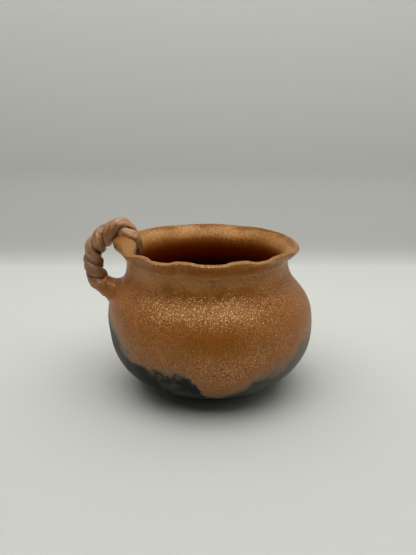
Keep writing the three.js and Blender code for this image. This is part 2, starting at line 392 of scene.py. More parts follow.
        # Mica colour: the flakes' own outside, painted glints in patches inside the rim
        glint_patches = node("ShaderNodeMapRange", (cues.mottle, *self.glint_ramp))
        mica_and_glints = node(
            "ShaderNodeMapRange", (cues.within, self.inner_from, 1.0, laid.outputs[0], glint_patches.outputs[0])
        )
        coat = node("ShaderNodeMath", (mask, mica_and_glints.outputs[0]), operation="MULTIPLY")
        colour = node(
            "ShaderNodeMix", {0: coat.outputs[0], 6: clouded, 7: linear(self.mica)}, data_type="RGBA"
        )
        glassy = node("ShaderNodeMapRange", (mask, 0.0, 1.0, self.ior, self.flake_ior))
        smooth, coarse = self.roughness - self.rough_swing, self.roughness + self.rough_swing
        uneven = node("ShaderNodeMapRange", (cues.grain, *self.rough_span, smooth, coarse))
        gloss = node("ShaderNodeMix", {0: mask, 2: uneven.outputs[0], 3: self.flake_roughness})
        dull_and_shade = node("ShaderNodeMix", {0: soot, 2: gloss.outputs[0], 3: self.soot_roughness})
        pitted = node("ShaderNodeMapRange", (cues.grain, *self.pit_ramp))
        matt = node("ShaderNodeMapRange", (cues.deep, 0.0, 1.0, pitted.outputs[0], self.inside_gloss))
        sooty = node("ShaderNodeMapRange", (soot, 0.0, 1.0, matt.outputs[0], self.soot_gloss))
        reliefs = (
            (self._strokes(node, cues), self.stroke_relief, self.stroke_depth),
            (cues.grain, self.grain_relief, self.grain_depth),
        )
        for height, strength, depth in reliefs:
            facing = node(
                "ShaderNodeBump",
                {"Height": height, "Strength": strength, "Distance": depth, "Normal": facing},
            ).outputs[0]
        looks = {
            "Base Color": colour.outputs[2],
            "IOR": glassy.outputs[0],
            "Roughness": dull_and_shade.outputs[0],
            "Specular IOR Level": sooty.outputs[0],
            "Normal": facing,
        }
        for name, socket in looks.items():
            tree.links.new(socket, shader.inputs[name])
        shader.inputs["Specular Tint"].default_value = linear(self.sheen)
        return material

    def _cues(self, node: partial) -> ClayCues:
        """Makes the patterns that the layers share.

        Args:
            node: Adds a node to the tree.

        Returns:
            The patterns.
        """
        place = node("ShaderNodeTexCoord").outputs["Object"]
        xyz = node("ShaderNodeSeparateXYZ", (place,)).outputs
        grain, mottle, smudge = (
            node("ShaderNodeTexNoise", {"Vector": place, "Scale": per(size), "Detail": detail}).outputs["Fac"]
            for size, detail in ((self.grain, 2.0), (self.mottle, 3.0), (self.smudge, 4.0))
        )
        stray = node("ShaderNodeMapRange", (smudge, *self.wander_span, -self.wander, self.wander))
        return ClayCues(
            place=place,
            height=xyz["Z"],
            level=node("ShaderNodeMath", (xyz["Z"], stray.outputs[0]), operation="ADD").outputs[0],
            turn=node("ShaderNodeMath", (xyz["Y"], xyz["X"]), operation="ARCTAN2").outputs[0],
            grain=grain,
            mottle=mottle,
            deep=node("ShaderNodeAttribute", attribute_name="inside").outputs["Fac"],
            within=node("ShaderNodeAttribute", attribute_name="within").outputs["Fac"],
        )

    def _peach_bands(self, node: partial, cues: ClayCues) -> Socket:
        """Tells where the clay is peach rather than amber: outside the bands and patches, which are partly
        burnishing and partly painted reflection.

        Args:
            node: Adds a node to the tree.
            cues: The shared patterns.

        Returns:
            How much peach there is, from 0 to 1.
        """
        share = node("ShaderNodeMath", (cues.level, per(self.band_top)), operation="MULTIPLY")
        band = node(
            "ShaderNodeFloatCurve", {"Value": share.outputs[0]},
            points=[(z * MM / self.band_top, amount) for z, amount in self.burnish_and_reflection],
        )
        start = -self.patches * math.radians(self.patch_azimuth)
        lobes = node("ShaderNodeMath", (cues.turn, float(self.patches), start), operation="MULTIPLY_ADD")
        wave = node("ShaderNodeMath", (lobes.outputs[0],), operation="COSINE")
        lobe = node("ShaderNodeMapRange", (wave.outputs[0], -1.0, 1.0))
        narrow = node("ShaderNodeMath", (lobe.outputs[0], self.patch_power), operation="POWER")
        patch = node("ShaderNodeMapRange", (narrow.outputs[0], 0.0, 1.0, self.patch_least, 1.0))
        # The amber share: partly burnished bands, partly painted reflection of the dark room in front
        rubbed = node("ShaderNodeMath", (band.outputs[0], patch.outputs[0]), operation="MULTIPLY")
        broad = node("ShaderNodeMapRange", (cues.mottle, *self.peach_ramp))
        return node(
            "ShaderNodeMath", (broad.outputs[0], rubbed.outputs[0]), operation="SUBTRACT", use_clamp=True
        ).outputs[0]

    def _body(self, node: partial, cues: ClayCues, plain_and_sheen: Socket) -> Socket:
        """Colours the fired clay: mottled, grained, in amber and peach bands that are partly painted
        reflection, with painted light on the neck, a paler lip that is partly a painted highlight, painted
        highlight patches on the rim's inside, and painted shade deeper inside.

        Args:
            node: Adds a node to the tree.
            cues: The shared patterns.
            plain_and_sheen: How much peach there is, from 0 to 1: plainer clay, and painted sheen of the
                floor.

        Returns:
            The colour.
        """
        # Painted light on the neck's waist
        low, full, fading, high = self.waist
        patchy = node("ShaderNodeMapRange", (cues.mottle, *self.neck_light_ramp))
        rising = node("ShaderNodeMapRange", (cues.level, low, full, 0.0, patchy.outputs[0]))
        waist = node("ShaderNodeMapRange", (cues.level, high, fading, 0.0, rising.outputs[0])).outputs[0]
        strong = node("ShaderNodeMapRange", (plain_and_sheen, *self.grain_ramp)).outputs[0]
        calm_at, calmed = self.calm
        calm = node("ShaderNodeMapRange", (waist, 0.0, calm_at, strong, calmed))
        dark = node("ShaderNodeMapRange", (cues.grain, *self.dark_span, 0.0, calm.outputs[0]))
        pale = node("ShaderNodeMapRange", (cues.grain, *self.pale_span, 0.0, strong))
        # Paler lip: partly rubbed clay, partly a painted highlight
        lip = node("ShaderNodeAttribute", attribute_name="lip")
        rubbed = node("ShaderNodeMapRange", (lip.outputs["Fac"], *self.lip_ramp))
        # Painted highlight patches on the rim's inside
        highlight_patches = node("ShaderNodeMapRange", (cues.mottle, *self.inner_highlight_ramp))
        inner = node("ShaderNodeMapRange", (cues.within, self.inner_from, 1.0, 0.0, highlight_patches.outputs[0]))
        # Painted shade down inside the pot
        shaded = node("ShaderNodeMapRange", (cues.deep, 0.0, self.shade_by))
        deeper = node("ShaderNodeMapRange", (cues.deep, self.maroon_from))
        # Darker towards the bottom inside
        bottom = node("ShaderNodeMapRange", (cues.height, *self.inside_floor_span, 0.0, cues.deep))
        coats = (
            (plain_and_sheen, self.peach),
            (waist, self.bare),
            (dark.outputs[0], self.dark_grain),
            (pale.outputs[0], self.pale_grain),
            (rubbed.outputs[0], self.lip),
            (inner.outputs[0], self.rim_inside),
            (shaded.outputs[0], self.inside),
            (deeper.outputs[0], self.deep_inside_shade),
            (bottom.outputs[0], self.inside_floor_dark),
        )
        tone = linear(self.amber)
        for share, colour in coats:
            coat = node("ShaderNodeMix", {0: share, 6: tone, 7: linear(colour)}, data_type="RGBA")
            tone = coat.outputs[2]
        return tone

    def _clouded(
        self, node: partial, cues: ClayCues, body: Socket
    ) -> tuple[Socket, Socket]:
        """Lays the fire clouds over the clay, with a soft ragged border.

        Args:
            node: Adds a node to the tree.
            cues: The shared patterns.
            body: The clay's colour.

        Returns:
            The colour, and how thick the soot is.
        """
        lap = node("ShaderNodeMath", (cues.turn, 1 / math.tau, 0.5), operation="MULTIPLY_ADD").outputs[0]
        border = node(
            "ShaderNodeFloatCurve", {"Value": lap},
            points=[((a - 180) / 360, z * MM / self.cloud_top) for a, z, _ in self.clouds],
        )
        blackest = node(
            "ShaderNodeFloatCurve", {"Value": lap},
            points=[((a - 180) / 360, amount) for a, _, amount in self.clouds],
        )
        ragged = node(
            "ShaderNodeTexNoise",
            {"Vector": cues.place, "Scale": per(self.cloud_scale), "Detail": 5.0, "Roughness": 0.6},
        ).outputs["Fac"]
        dust = node(
            "ShaderNodeTexNoise", {"Vector": cues.place, "Scale": per(self.grain), "Detail": 1.0}
        ).outputs["Fac"]
        blotch = node("ShaderNodeMapRange", (ragged, *self.blotch_ramp)).outputs[0]
        black = node("ShaderNodeMath", (blackest.outputs[0], blotch), operation="MULTIPLY").outputs[0]

        # How far below the clouds' ragged border a point lies, and never inside the pot
        reach = node("ShaderNodeMath", (border.outputs[0], self.cloud_top), operation="MULTIPLY")
        below = node("ShaderNodeMath", (reach.outputs[0], cues.height), operation="SUBTRACT")
        for noise, stray in ((ragged, self.cloud_ragged / 2), (dust, self.cloud_soft / 3)):
            swing = node("ShaderNodeMapRange", (noise, *NOISE_SPAN, -stray, stray))
            below = node("ShaderNodeMath", (below.outputs[0], swing.outputs[0]), operation="ADD")
        depth = node(
            "ShaderNodeMath", (cues.deep, -2 * self.cloud_top, below.outputs[0]), operation="MULTIPLY_ADD"
        ).outputs[0]

        # From outside in: the warm halo, the grey smoke and the soot
        soft = self.cloud_soft
        haze = node("ShaderNodeMapRange", (black, *self.haze_ramp)).outputs[0]
        grey_end, black_end = (share * soft for share in self.soot_end)
        full = node("ShaderNodeMapRange", (black, self.soot_from, 1.0, grey_end, black_end)).outputs[0]
        layers = (
            (-self.halo_reach, -soft, self.halo_share, self.halo),
            (-soft, soft, haze, self.smoke),
            (self.soot_start * soft, full, black, self.charcoal),
        )
        tone = body
        shares = []
        for start, end, most, colour in layers:
            share = node(
                "ShaderNodeMapRange", (depth, start, end, 0.0, most), interpolation_type="SMOOTHSTEP"
            ).outputs[0]
            coat = node("ShaderNodeMix", {0: share, 6: tone, 7: linear(colour)}, data_type="RGBA")
            tone = coat.outputs[2]
            shares.append(share)
        _, rope_low_shade, _ = shares
        return tone, rope_low_shade

    def _strokes(self, node: partial, cues: ClayCues) -> Socket:
        """Gives the marks of the burnishing stone: short strokes that run round the pot.

        Args:
            node: Adds a node to the tree.
            cues: The shared patterns.

        Returns:
            The height of the marks, from 0 to 1.
        """
        length, width = self.stroke
        flat = node("ShaderNodeVectorMath", (cues.place, (1.0, 1.0, 0.0)), operation="MULTIPLY")
        ring = node("ShaderNodeVectorMath", (flat.outputs[0],), operation="NORMALIZE")
        lap = PotWall.belly_radius / length
        long = node("ShaderNodeVectorMath", {0: ring.outputs[0], "Scale": lap}, operation="SCALE")
        tall = node("ShaderNodeVectorMath", (cues.place, (0.0, 0.0, per(width))), operation="MULTIPLY")
        spot = node("ShaderNodeVectorMath", (long.outputs[0], tall.outputs[0]), operation="ADD")
        marks = node("ShaderNodeTexNoise", {"Vector": spot.outputs[0], "Scale": 1.0, "Detail": 1.0})
        return marks.outputs["Fac"]

    def _flakes(
        self, node: partial, cues: ClayCues, soot: Socket
    ) -> tuple[Socket, Socket]:
        """Sets mica flakes in the slip, each tilted its own way, so that single ones flash.

        Args:
            node: Adds a node to the tree.
            cues: The shared patterns.
            soot: How thick the soot over the flakes is.

        Returns:
            Where the flakes are, and which way they face.
        """
        cells = node("ShaderNodeTexVoronoi", {"Vector": cues.place, "Scale": per(self.flake)}).outputs
        chance = node("ShaderNodeSeparateXYZ", (cells["Color"],))
        bare = node("ShaderNodeMapRange", (soot, 0.0, 1.0, 1.0, self.sooty_flakes))
        start = 1 - self.flake_share
        lit = node("ShaderNodeMapRange", (chance.outputs["Z"], start, start + 0.02, 0.0, bare.outputs[0]))
        flake = node("ShaderNodeMapRange", (cells["Distance"], *self.flake_edge, 0.0, lit.outputs[0]))
        open_air = node("ShaderNodeMath", (1.0, cues.deep), operation="SUBTRACT")
        mask = node("ShaderNodeMath", (flake.outputs[0], open_air.outputs[0]), operation="MULTIPLY")
        lean = node("ShaderNodeVectorMath", (cells["Color"], (0.5, 0.5, 0.5)), operation="SUBTRACT")
        amount = node(
            "ShaderNodeMapRange", (mask.outputs[0], 0.0, 1.0, 2 * self.clay_tilt, 2 * self.flake_tilt)
        )
        tilt = node(
            "ShaderNodeVectorMath", {0: lean.outputs[0], "Scale": amount.outputs[0]}, operation="SCALE"
        )
        skin = node("ShaderNodeNewGeometry").outputs["Normal"]
        tilted = node("ShaderNodeVectorMath", (skin, tilt.outputs[0]), operation="ADD")
        normal = node("ShaderNodeVectorMath", (tilted.outputs[0],), operation="NORMALIZE")
        return mask.outputs[0], normal.outputs[0]


@dataclass(frozen=True)
class RolledClay:
    """The same clay rolled into strands and smoothed by hand, but not burnished.

    The eye sees a matt brown, paler in patches where fingers rubbed it, with a painted highlight that grows
    towards the rope's top and on its wrinkles' ridges, and painted shade low down, in the grooves and in the
    creases.
    """

    name: str = "hand-rolled micaceous clay"
    body: str = "#8a5a2f"
    # The colour low on the rope is painted shade; the top is left lighter, a painted light
    rope_low_shade: str = "#725036"
    root: str = "#905a28"
    # groove: painted shade in the grooves and creases, and the colour of the grain's pits
    groove: str = "#6f4826"
    # crest: painted highlight on the top and the ridges, and the colour of the grain's flecks
    crest: str = "#d8a26c"
    top_light_span: Span = (98 * MM, 121 * MM)  # from painted shade low down to full colour at the top
    root_span: Span = (23 * MM, 11 * MM)  # along the rope, from its own colour to the pot's
    low_highlight: float = 0.4  # how much of the painted highlight is left low down
    top_highlight_ramp: Ramp = (0.4, 0.7, 0.0, 0.8)
    # Painted highlight on the wrinkles' ridges, painted shade in the grooves and creases
    ridge_span: Span = (0.55, 0.8)
    hollow_ramp: Ramp = (0.45, 0.1, 0.0, 0.45)
    crease_ramp: Ramp = (0.42, 0.3, 0.0, 0.5)
    fleck_ramp: Ramp = (0.55, 0.8, 0.0, 0.5)
    pit_ramp: Ramp = (0.45, 0.25, 0.0, 0.7)
    ior: float = 1.6
    roughness: float = 0.36
    grain: float = 0.9 * MM
    grain_depth: float = 0.3 * MM
    grain_relief: float = 0.8
    mottle: float = 14 * MM

    def build(self) -> bpy.types.Material:
        """Makes the material.

        Returns:
            The material.
        """
        material = bpy.data.materials.new(self.name)
        material.use_nodes = True
        tree = material.node_tree
        shader = tree.nodes["Principled BSDF"]
        node = partial(add_node, tree)
        place = node("ShaderNodeTexCoord").outputs["Object"]
        height = node("ShaderNodeSeparateXYZ", (place,)).outputs["Z"]
        mottle, grain = (
            node("ShaderNodeTexNoise", {"Vector": place, "Scale": per(size), "Detail": detail}).outputs["Fac"]
            for size, detail in ((self.mottle, 4.0), (self.grain, 2.0))
        )
        along, fold, crest = (
            node("ShaderNodeAttribute", attribute_name=name).outputs["Fac"]
            for name in ("along", "fold", "crest")
        )
        # Painted light: lighter towards the top, with painted highlights in rubbed patches and on the ridges
        top_lit = node("ShaderNodeMapRange", (height, *self.top_light_span)).outputs[0]
        rooted = node("ShaderNodeMapRange", (along, *self.root_span))
        bright = node("ShaderNodeMapRange", (top_lit, 0.0, 1.0, self.low_highlight, 1.0)).outputs[0]
        highlight_patches = node("ShaderNodeMapRange", (mottle, *self.top_highlight_ramp))
        rubbed = node("ShaderNodeMath", (highlight_patches.outputs[0], bright), operation="MULTIPLY")
        # Painted highlight on the ridges, painted shade in the grooves and creases
        ridge = node("ShaderNodeMapRange", (fold, *self.ridge_span, 0.0, bright))
        hollow = node("ShaderNodeMapRange", (crest, *self.hollow_ramp))
        crease = node("ShaderNodeMapRange", (fold, *self.crease_ramp))
        sunk = node("ShaderNodeMath", (hollow.outputs[0], crease.outputs[0]), operation="MAXIMUM")
        fleck = node("ShaderNodeMapRange", (grain, *self.fleck_ramp))
        pit = node("ShaderNodeMapRange", (grain, *self.pit_ramp))
        coats = (
            (top_lit, self.body),
            (rooted.outputs[0], self.root),
            (rubbed.outputs[0], self.crest),
            (ridge.outputs[0], self.crest),
            (sunk.outputs[0], self.groove),
            (fleck.outputs[0], self.crest),
            (pit.outputs[0], self.groove),
        )
        tone = linear(self.rope_low_shade)
        for share, colour in coats:
            coat = node("ShaderNodeMix", {0: share, 6: tone, 7: linear(colour)}, data_type="RGBA")
            tone = coat.outputs[2]
        tree.links.new(tone, shader.inputs["Base Color"])
        shader.inputs["Roughness"].default_value = self.roughness
        shader.inputs["IOR"].default_value = self.ior
        bump = node(
            "ShaderNodeBump", {"Height": grain, "Strength": self.grain_relief, "Distance": self.grain_depth}
        )
        tree.links.new(bump.outputs[0], shader.inputs["Normal"])
        return material


@dataclass(frozen=True)
class MicaFlake:
    """Flakes of mica in the slip: thin, glassy plates that flash pale gold."""

    name: str = "golden mica"
    pale: str = "#c9965c"
    deep: str = "#98602e"
    roughness: float = 0.3
    metallic: float = 0.35
    patch: float = 2 * MM

    def build(self) -> bpy.types.Material:
        """Makes the material.

        Returns:
            The material.
        """
        material = bpy.data.materials.new(self.name)
        material.use_nodes = True
        tree = material.node_tree
        shader = tree.nodes["Principled BSDF"]
        place = add_node(tree, "ShaderNodeTexCoord").outputs["Object"]
        patch = add_node(tree, "ShaderNodeTexVoronoi", {"Vector": place, "Scale": per(self.patch)})
        chance = add_node(tree, "ShaderNodeSeparateXYZ", (patch.outputs["Color"],))
        tone = add_node(
            tree, "ShaderNodeMix",
            {0: chance.outputs["X"], 6: linear(self.deep), 7: linear(self.pale)}, data_type="RGBA",
        )
        tree.links.new(tone.outputs[2], shader.inputs["Base Color"])
        shader.inputs["Metallic"].default_value = self.metallic
        shader.inputs["Roughness"].default_value = self.roughness
        return material


@dataclass(frozen=True)
class WallCues:
    """Where a point of the wall lies, each a socket of the wall's tree."""

    turn: Socket  # the azimuth in radians
    cosine: Socket
    sine: Socket
    ring: Socket  # the way out from the axis
    walk: Socket  # the distance from the top of the lip, minus outside and plus inside
    inside: Socket  # from 0 on the outside to 1 on the inside
    height: Socket  # on the outline
    rise: Socket  # from 0 at the neck to 1 at the rim


@dataclass
class PotWall:
    """The body: floor, belly, neck, flared rim and crimped lip, all one wall of clay."""

    base_radius: float = 22.3 * MM
    belly_radius: float = 75 * MM
    belly_height: float = 51.9 * MM
    neck_radius: float = 58 * MM
    neck_height: float = 96.6 * MM
    rim_radius: float = 65.8 * MM
    rim_height: float = 108.6 * MM
    lean: float = 6 * MM
    sag: float = 7.2 * MM  # how far the lower belly has settled towards the handle
    sag_foot: float = 12 * MM  # the height where the settling is full
    sag_span: Span = (6 * MM, 47 * MM)  # and the heights between which it fades
    base_swell: float = 16.2 * MM
    underbelly_swell: float = 36.5 * MM
    shoulder_swell: float = 28.5 * MM
    neck_swell: float = 21.4 * MM
    flare_swell: float = 3.5 * MM
    lip_swell: float = 5.3 * MM
    lip_spread: float = 1.3 * MM
    wall: float = 5 * MM
    lip: float = 3.4 * MM
    lip_square: float = 0.6  # 1 is a round lip, less is a flatter one with crisp edges
    lip_bevel: float = 0.9 * MM  # how much lower the lip's outer edge lies
    lip_band: float = 2.9 * MM  # how far the paler lip colour reaches from the lip: rubbed clay, and partly a painted highlight
    inside_shade: tuple[float, float] = (7 * MM, 21 * MM)  # where the painted shade inside comes in, from the lip down
    droop: float = 0.36  # how far a crimp that goes out comes down
    settled: float = 0.6 * MM  # how much lower the rim lies in front than at the sides
    dent: float = 0.9 * MM  # how deep the thumb pressed the rim's inside
    dent_patch: float = 19 * MM
    dent_ramp: Ramp = (0.3, 0.7, 0.6, -1.0)  # from noise to depth
    dent_span: tuple[float, float, float, float] = (3 * MM, 7 * MM, 9 * MM, 18 * MM)  # below the lip
    unevenness: float = 0.5 * MM
    uneven_patch: float = 34 * MM
    turn_steps: int = 256
    walk_steps: int = 300
    outline_steps: int = 120
    curve_steps: int = 64
    weld: float = 1e-6
    crimp_range: float = 4 * MM
    # How far the fingers pushed the lip out: azimuth in degrees from +X, millimetres
    crimps: Table = (
        (180, 1.6), (190, 0.6), (200, -2.2), (217, 0.9), (228, -1.6), (236, 0.6), (245, 1.7), (250, 0.7),
        (256, -1.2), (263, -0.2), (270, 1.3), (276, 1.5), (283, 0.2), (290, -0.8), (296, 0.2), (303, 2.2),
        (310, 1.3), (317, 0.1), (326, 0.1), (338, 1.9), (352, 1.2), (366, 0.3), (384, 1.0), (406, -1.5),
        (426, 1.4), (448, -1.3), (468, 1.3), (488, -1.4), (508, 1.2), (524, -0.6), (540, 1.6),
    )

    def knots(self) -> list[tuple[Vector, Vector, Vector]]:
        """Gives the outline's knots in the plane of x and z.

        Returns:
            For each knot its left handle, its place and its right handle.
        """
        base = Vector((self.base_radius, 0, 0))
        belly = Vector((self.belly_radius, 0, self.belly_height))
        neck = Vector((self.neck_radius, 0, self.neck_height))
        lip = Vector((self.rim_radius, 0, self.rim_height))
        out, up = Vector((1, 0, 0)), Vector((0, 0, 1))
        return [
            (Vector(), Vector(), base / 3),
            (base * 2 / 3, base, base + self.base_swell * out),
            (belly - self.underbelly_swell * up, belly, belly + self.shoulder_swell * up),
            (neck - self.neck_swell * up, neck, neck + self.flare_swell * up),
            (lip - self.lip_spread * out - self.lip_swell * up, lip, lip),
        ]

    def outline(self) -> list[Vector]:
        """Gives the outline of the outside as close points, from the axis to the lip."""
        knots = self.knots()
        points: list[Vector] = []
        for (_, start, leave), (arrive, end, _) in zip(knots, knots[1:]):
            points += interpolate_bezier(start, leave, arrive, end, self.outline_steps)[:-1]
        return points + [knots[-1][1]]

    def lean_at(self, height: float) -> float:
        """Gives how far the pot's axis has moved along x at a height."""
        return -self.lean * height / self.rim_height

    def handle_side(self, radius: float, height: float) -> Vector:
        """Gives the point on the handle's side at a radius and a height."""
        return Vector((self.lean_at(height) - radius, 0, height))

    def at_height(self, height: float) -> float:
        """Gives the outside's radius at a height.

        Args:
            height: The height above the floor.

        Returns:
            The radius.
        """
        outline = self.outline()
        for low, high in zip(outline, outline[1:]):
            if low.z <= height <= high.z and high.z > low.z:
                return mix(low.x, high.x, (height - low.z) / (high.z - low.z))
        return self.rim_radius

    def sizes(self, material: bpy.types.Material) -> dict[str, object]:
        """Gives the values of the tree's inputs.

        Args:
            material: The piece's material.

        Returns:
            The values by the inputs' names.
        """
        return {
            "Turn Steps": self.turn_steps,
            "Walk Steps": self.walk_steps,
            "Neck Height": self.neck_height,
            "Rim Height": self.rim_height,
            "Wall": self.wall,
            "Lip": self.lip,
            "Lip Square": self.lip_square,
            "Lip Bevel": self.lip_bevel,
            "Lean": self.lean,
            "Sag": self.sag,
            "Crimp Range": self.crimp_range,
            "Droop": self.droop,
            "Settled": self.settled,
            "Dent": self.dent,
            "Dent Patch": self.dent_patch,
            "Unevenness": self.unevenness,
            "Uneven Patch": self.uneven_patch,
            "Material": material,
        }

    def build(self, material: bpy.types.Material) -> bpy.types.Object:
        """Turns the wall from its outline.

        Args:
            material: The clay.

        Returns:
            The piece.
        """
        curve = bpy.data.curves.new("outline", "CURVE")
        curve.dimensions = "3D"
        spline = curve.splines.new("BEZIER")
        spline.bezier_points.add(len(self.knots()) - 1)
        spline.resolution_u = self.curve_steps
        for knot, (left, place, right) in zip(spline.bezier_points, self.knots()):
            knot.handle_left_type = knot.handle_right_type = "FREE"
            knot.handle_left, knot.co, knot.handle_right = left, place, right
        sizes = self.sizes(material)
        host = bpy.data.objects.new("outline", curve)
        return grown_piece("pot_wall", host, self._tree(sizes), sizes)

    def _tree(self, sizes: Mapping[str, object]) -> bpy.types.NodeTree:
        """Makes the tree that walks the outline up the outside, over the lip and down inside.

        Args:
            sizes: The tree's inputs.

        Returns:
            The tree.
        """
        tree, size = geometry_tree("turned_wall", sizes)
        node = partial(add_node, tree)
        rows = node("ShaderNodeMath", (size.outputs["Turn Steps"], 1.0), operation="ADD")
        grid = node(
            "GeometryNodeMeshGrid", (math.tau, 2.0, rows.outputs[0], size.outputs["Walk Steps"])
        )
        flat = node("ShaderNodeSeparateXYZ", (node("GeometryNodeInputPosition").outputs[0],)).outputs
        walk, away, inside, distance = self._walk(node, size, flat["Y"])
        sample = node(
            "GeometryNodeSampleCurve", {"Curves": size.outputs["Geometry"], "Length": distance}, mode="LENGTH"
        )
        point = node("ShaderNodeSeparateXYZ", (sample.outputs["Position"],)).outputs
        along = node("ShaderNodeSeparateXYZ", (sample.outputs["Tangent"],)).outputs
        cosine = node("ShaderNodeMath", (flat["X"],), operation="COSINE").outputs[0]
        sine = node("ShaderNodeMath", (flat["X"],), operation="SINE").outputs[0]
        rise = node(
            "ShaderNodeMapRange", (point["Z"], size.outputs["Neck Height"], size.outputs["Rim Height"]),
            interpolation_type="SMOOTHSTEP",
        )
        cues = WallCues(
            turn=flat["X"],
            cosine=cosine,
            sine=sine,
            ring=node("ShaderNodeCombineXYZ", (cosine, sine)).outputs[0],
            walk=walk,
            inside=inside,
            height=point["Z"],
            rise=rise.outputs[0],
        )
        depth = self._depth(node, size, cues)
        inward = node("ShaderNodeMath", (depth, -1.0), operation="MULTIPLY").outputs[0]
        radius = node("ShaderNodeMath", (along["Z"], inward, point["X"]), operation="MULTIPLY_ADD")
        height = node("ShaderNodeMath", (along["X"], depth, point["Z"]), operation="MULTIPLY_ADD")
        place = self._handled(node, size, cues, radius.outputs[0], height.outputs[0])

        # What the finish needs to know: how near the lip a point is, and how deep inside, which becomes
        # painted shade
        near = node("ShaderNodeMapRange", (away, self.lip_band, 0.0), interpolation_type="SMOOTHSTEP")
        deep = node("ShaderNodeMapRange", (walk, *self.inside_shade), interpolation_type="SMOOTHSTEP")
        marks = {"lip": near.outputs[0], "inside": deep.outputs[0], "within": inside}
        skin = grid.outputs[0]
        for name, value in marks.items():
            skin = node(
                "GeometryNodeStoreNamedAttribute", {"Geometry": skin, "Name": name, "Value": value},
                domain="POINT",
            ).outputs[0]
        shaped = node("GeometryNodeSetPosition", {"Geometry": skin, "Position": place})
        closed = node("GeometryNodeMergeByDistance", {0: shaped.outputs[0], "Distance": self.weld})
        finish_tree(tree, closed.outputs[0], size)
        return tree

    def _walk(
        self, node: partial, size: bpy.types.Node, across: Socket
    ) -> tuple[Socket, Socket, Socket, Socket]:
        """Walks from the floor up the outside, over the lip and down inside.

        Args:
            node: Adds a node to the tree.
            size: The tree's input node.
            across: How far along the walk a point is, from -1 to 1.

        Returns:
            The distance from the top of the lip, minus outside and plus inside. The same without its
            sign. How far inside the wall's thickness it is, from 0 to 1. The length along the outline.
        """
        length = node("GeometryNodeCurveLength", (size.outputs["Geometry"],)).outputs[0]
        square = size.outputs["Lip Square"]
        lip = node("ShaderNodeMath", (size.outputs["Lip"], 0.5), operation="MULTIPLY").outputs[0]
        half = node("ShaderNodeMath", (lip, math.pi / 2 - 1, length), operation="MULTIPLY_ADD")
        far = node("ShaderNodeMath", (across,), operation="ABSOLUTE")
        close = node("ShaderNodeMath", (across, far.outputs[0]), operation="MULTIPLY")
        walk = node("ShaderNodeMath", (close.outputs[0], half.outputs[0]), operation="MULTIPLY").outputs[0]
        away = node("ShaderNodeMath", (walk,), operation="ABSOLUTE").outputs[0]

        # Over the lip the walk follows a squared half circle
        roll = node("ShaderNodeMath", (walk, lip), operation="DIVIDE")
        over = node("ShaderNodeClamp", (roll.outputs[0], -math.pi / 2, math.pi / 2))
        arch = node("ShaderNodeMath", (over.outputs[0],), operation="COSINE")
        upper = node("ShaderNodeMath", (arch.outputs[0], 0.0), operation="MAXIMUM")
        round_lip = node("ShaderNodeMath", (upper.outputs[0], square), operation="POWER")
        bend = node("ShaderNodeMath", (over.outputs[0],), operation="SINE")
        swell = node("ShaderNodeMath", (bend.outputs[0],), operation="ABSOLUTE")
        swelled = node("ShaderNodeMath", (swell.outputs[0], square), operation="POWER")
        way = node("ShaderNodeMath", (bend.outputs[0],), operation="SIGN")
        side = node("ShaderNodeMath", (swelled.outputs[0], way.outputs[0]), operation="MULTIPLY")
        inside = node("ShaderNodeMath", (side.outputs[0], 0.5, 0.5), operation="MULTIPLY_ADD").outputs[0]

        # The outer edge of the lip lies lower by the bevel
        quarter = node("ShaderNodeMath", (lip, math.pi / 2), operation="MULTIPLY")
        past = node("ShaderNodeMath", (away, quarter.outputs[0]), operation="SUBTRACT")
        below = node("ShaderNodeMath", (past.outputs[0], 0.0), operation="MAXIMUM")
        capped = node("ShaderNodeMath", (round_lip.outputs[0], lip, length), operation="MULTIPLY_ADD")
        start = node("ShaderNodeMath", (capped.outputs[0], lip), operation="SUBTRACT")
        level_top = node("ShaderNodeMath", (start.outputs[0], below.outputs[0]), operation="SUBTRACT")
        outside = node("ShaderNodeMath", (1.0, inside), operation="SUBTRACT")
        cut = node("ShaderNodeMath", (outside.outputs[0], size.outputs["Lip Bevel"]), operation="MULTIPLY")
        up_share = node("ShaderNodeMath", (level_top.outputs[0], length), operation="DIVIDE")
        bevel = node("ShaderNodeMath", (cut.outputs[0], up_share.outputs[0]), operation="MULTIPLY")
        distance = node("ShaderNodeMath", (level_top.outputs[0], bevel.outputs[0]), operation="SUBTRACT")
        return walk, away, inside, distance.outputs[0]

    def _depth(self, node: partial, size: bpy.types.Node, cues: WallCues) -> Socket:
        """Gives how deep under the outside a point lies, with the thumb's dents in the rim's inside.

        Args:
            node: Adds a node to the tree.
            size: The tree's input node.
            cues: Where the point lies.

        Returns:
            The depth.
        """
        thick = node("ShaderNodeMapRange", (cues.rise, 0.0, 1.0, size.outputs["Wall"], size.outputs["Lip"]))
        dent_from, dent_full, dent_less, dent_end = self.dent_span
        press = size.outputs["Dent"]
        for none, full in ((dent_from, dent_full), (dent_end, dent_less)):
            press = node(
                "ShaderNodeMapRange", (cues.walk, none, full, 0.0, press), interpolation_type="SMOOTHSTEP"
            ).outputs[0]
        rim_spot = node("ShaderNodeVectorMath", {0: cues.ring, "Scale": self.rim_radius}, operation="SCALE")
        thumb = node("ShaderNodeMath", (1.0, size.outputs["Dent Patch"]), operation="DIVIDE")
        dents = node(
            "ShaderNodeTexNoise", {"Vector": rim_spot.outputs[0], "Scale": thumb.outputs[0], "Detail": 1.0}
        )
        dented = node("ShaderNodeMapRange", (dents.outputs["Fac"], *self.dent_ramp))
        swollen = node(
            "ShaderNodeMath", (dented.outputs[0], press, thick.outputs[0]), operation="MULTIPLY_ADD"
        )
        return node("ShaderNodeMath", (swollen.outputs[0], cues.inside), operation="MULTIPLY").outputs[0]

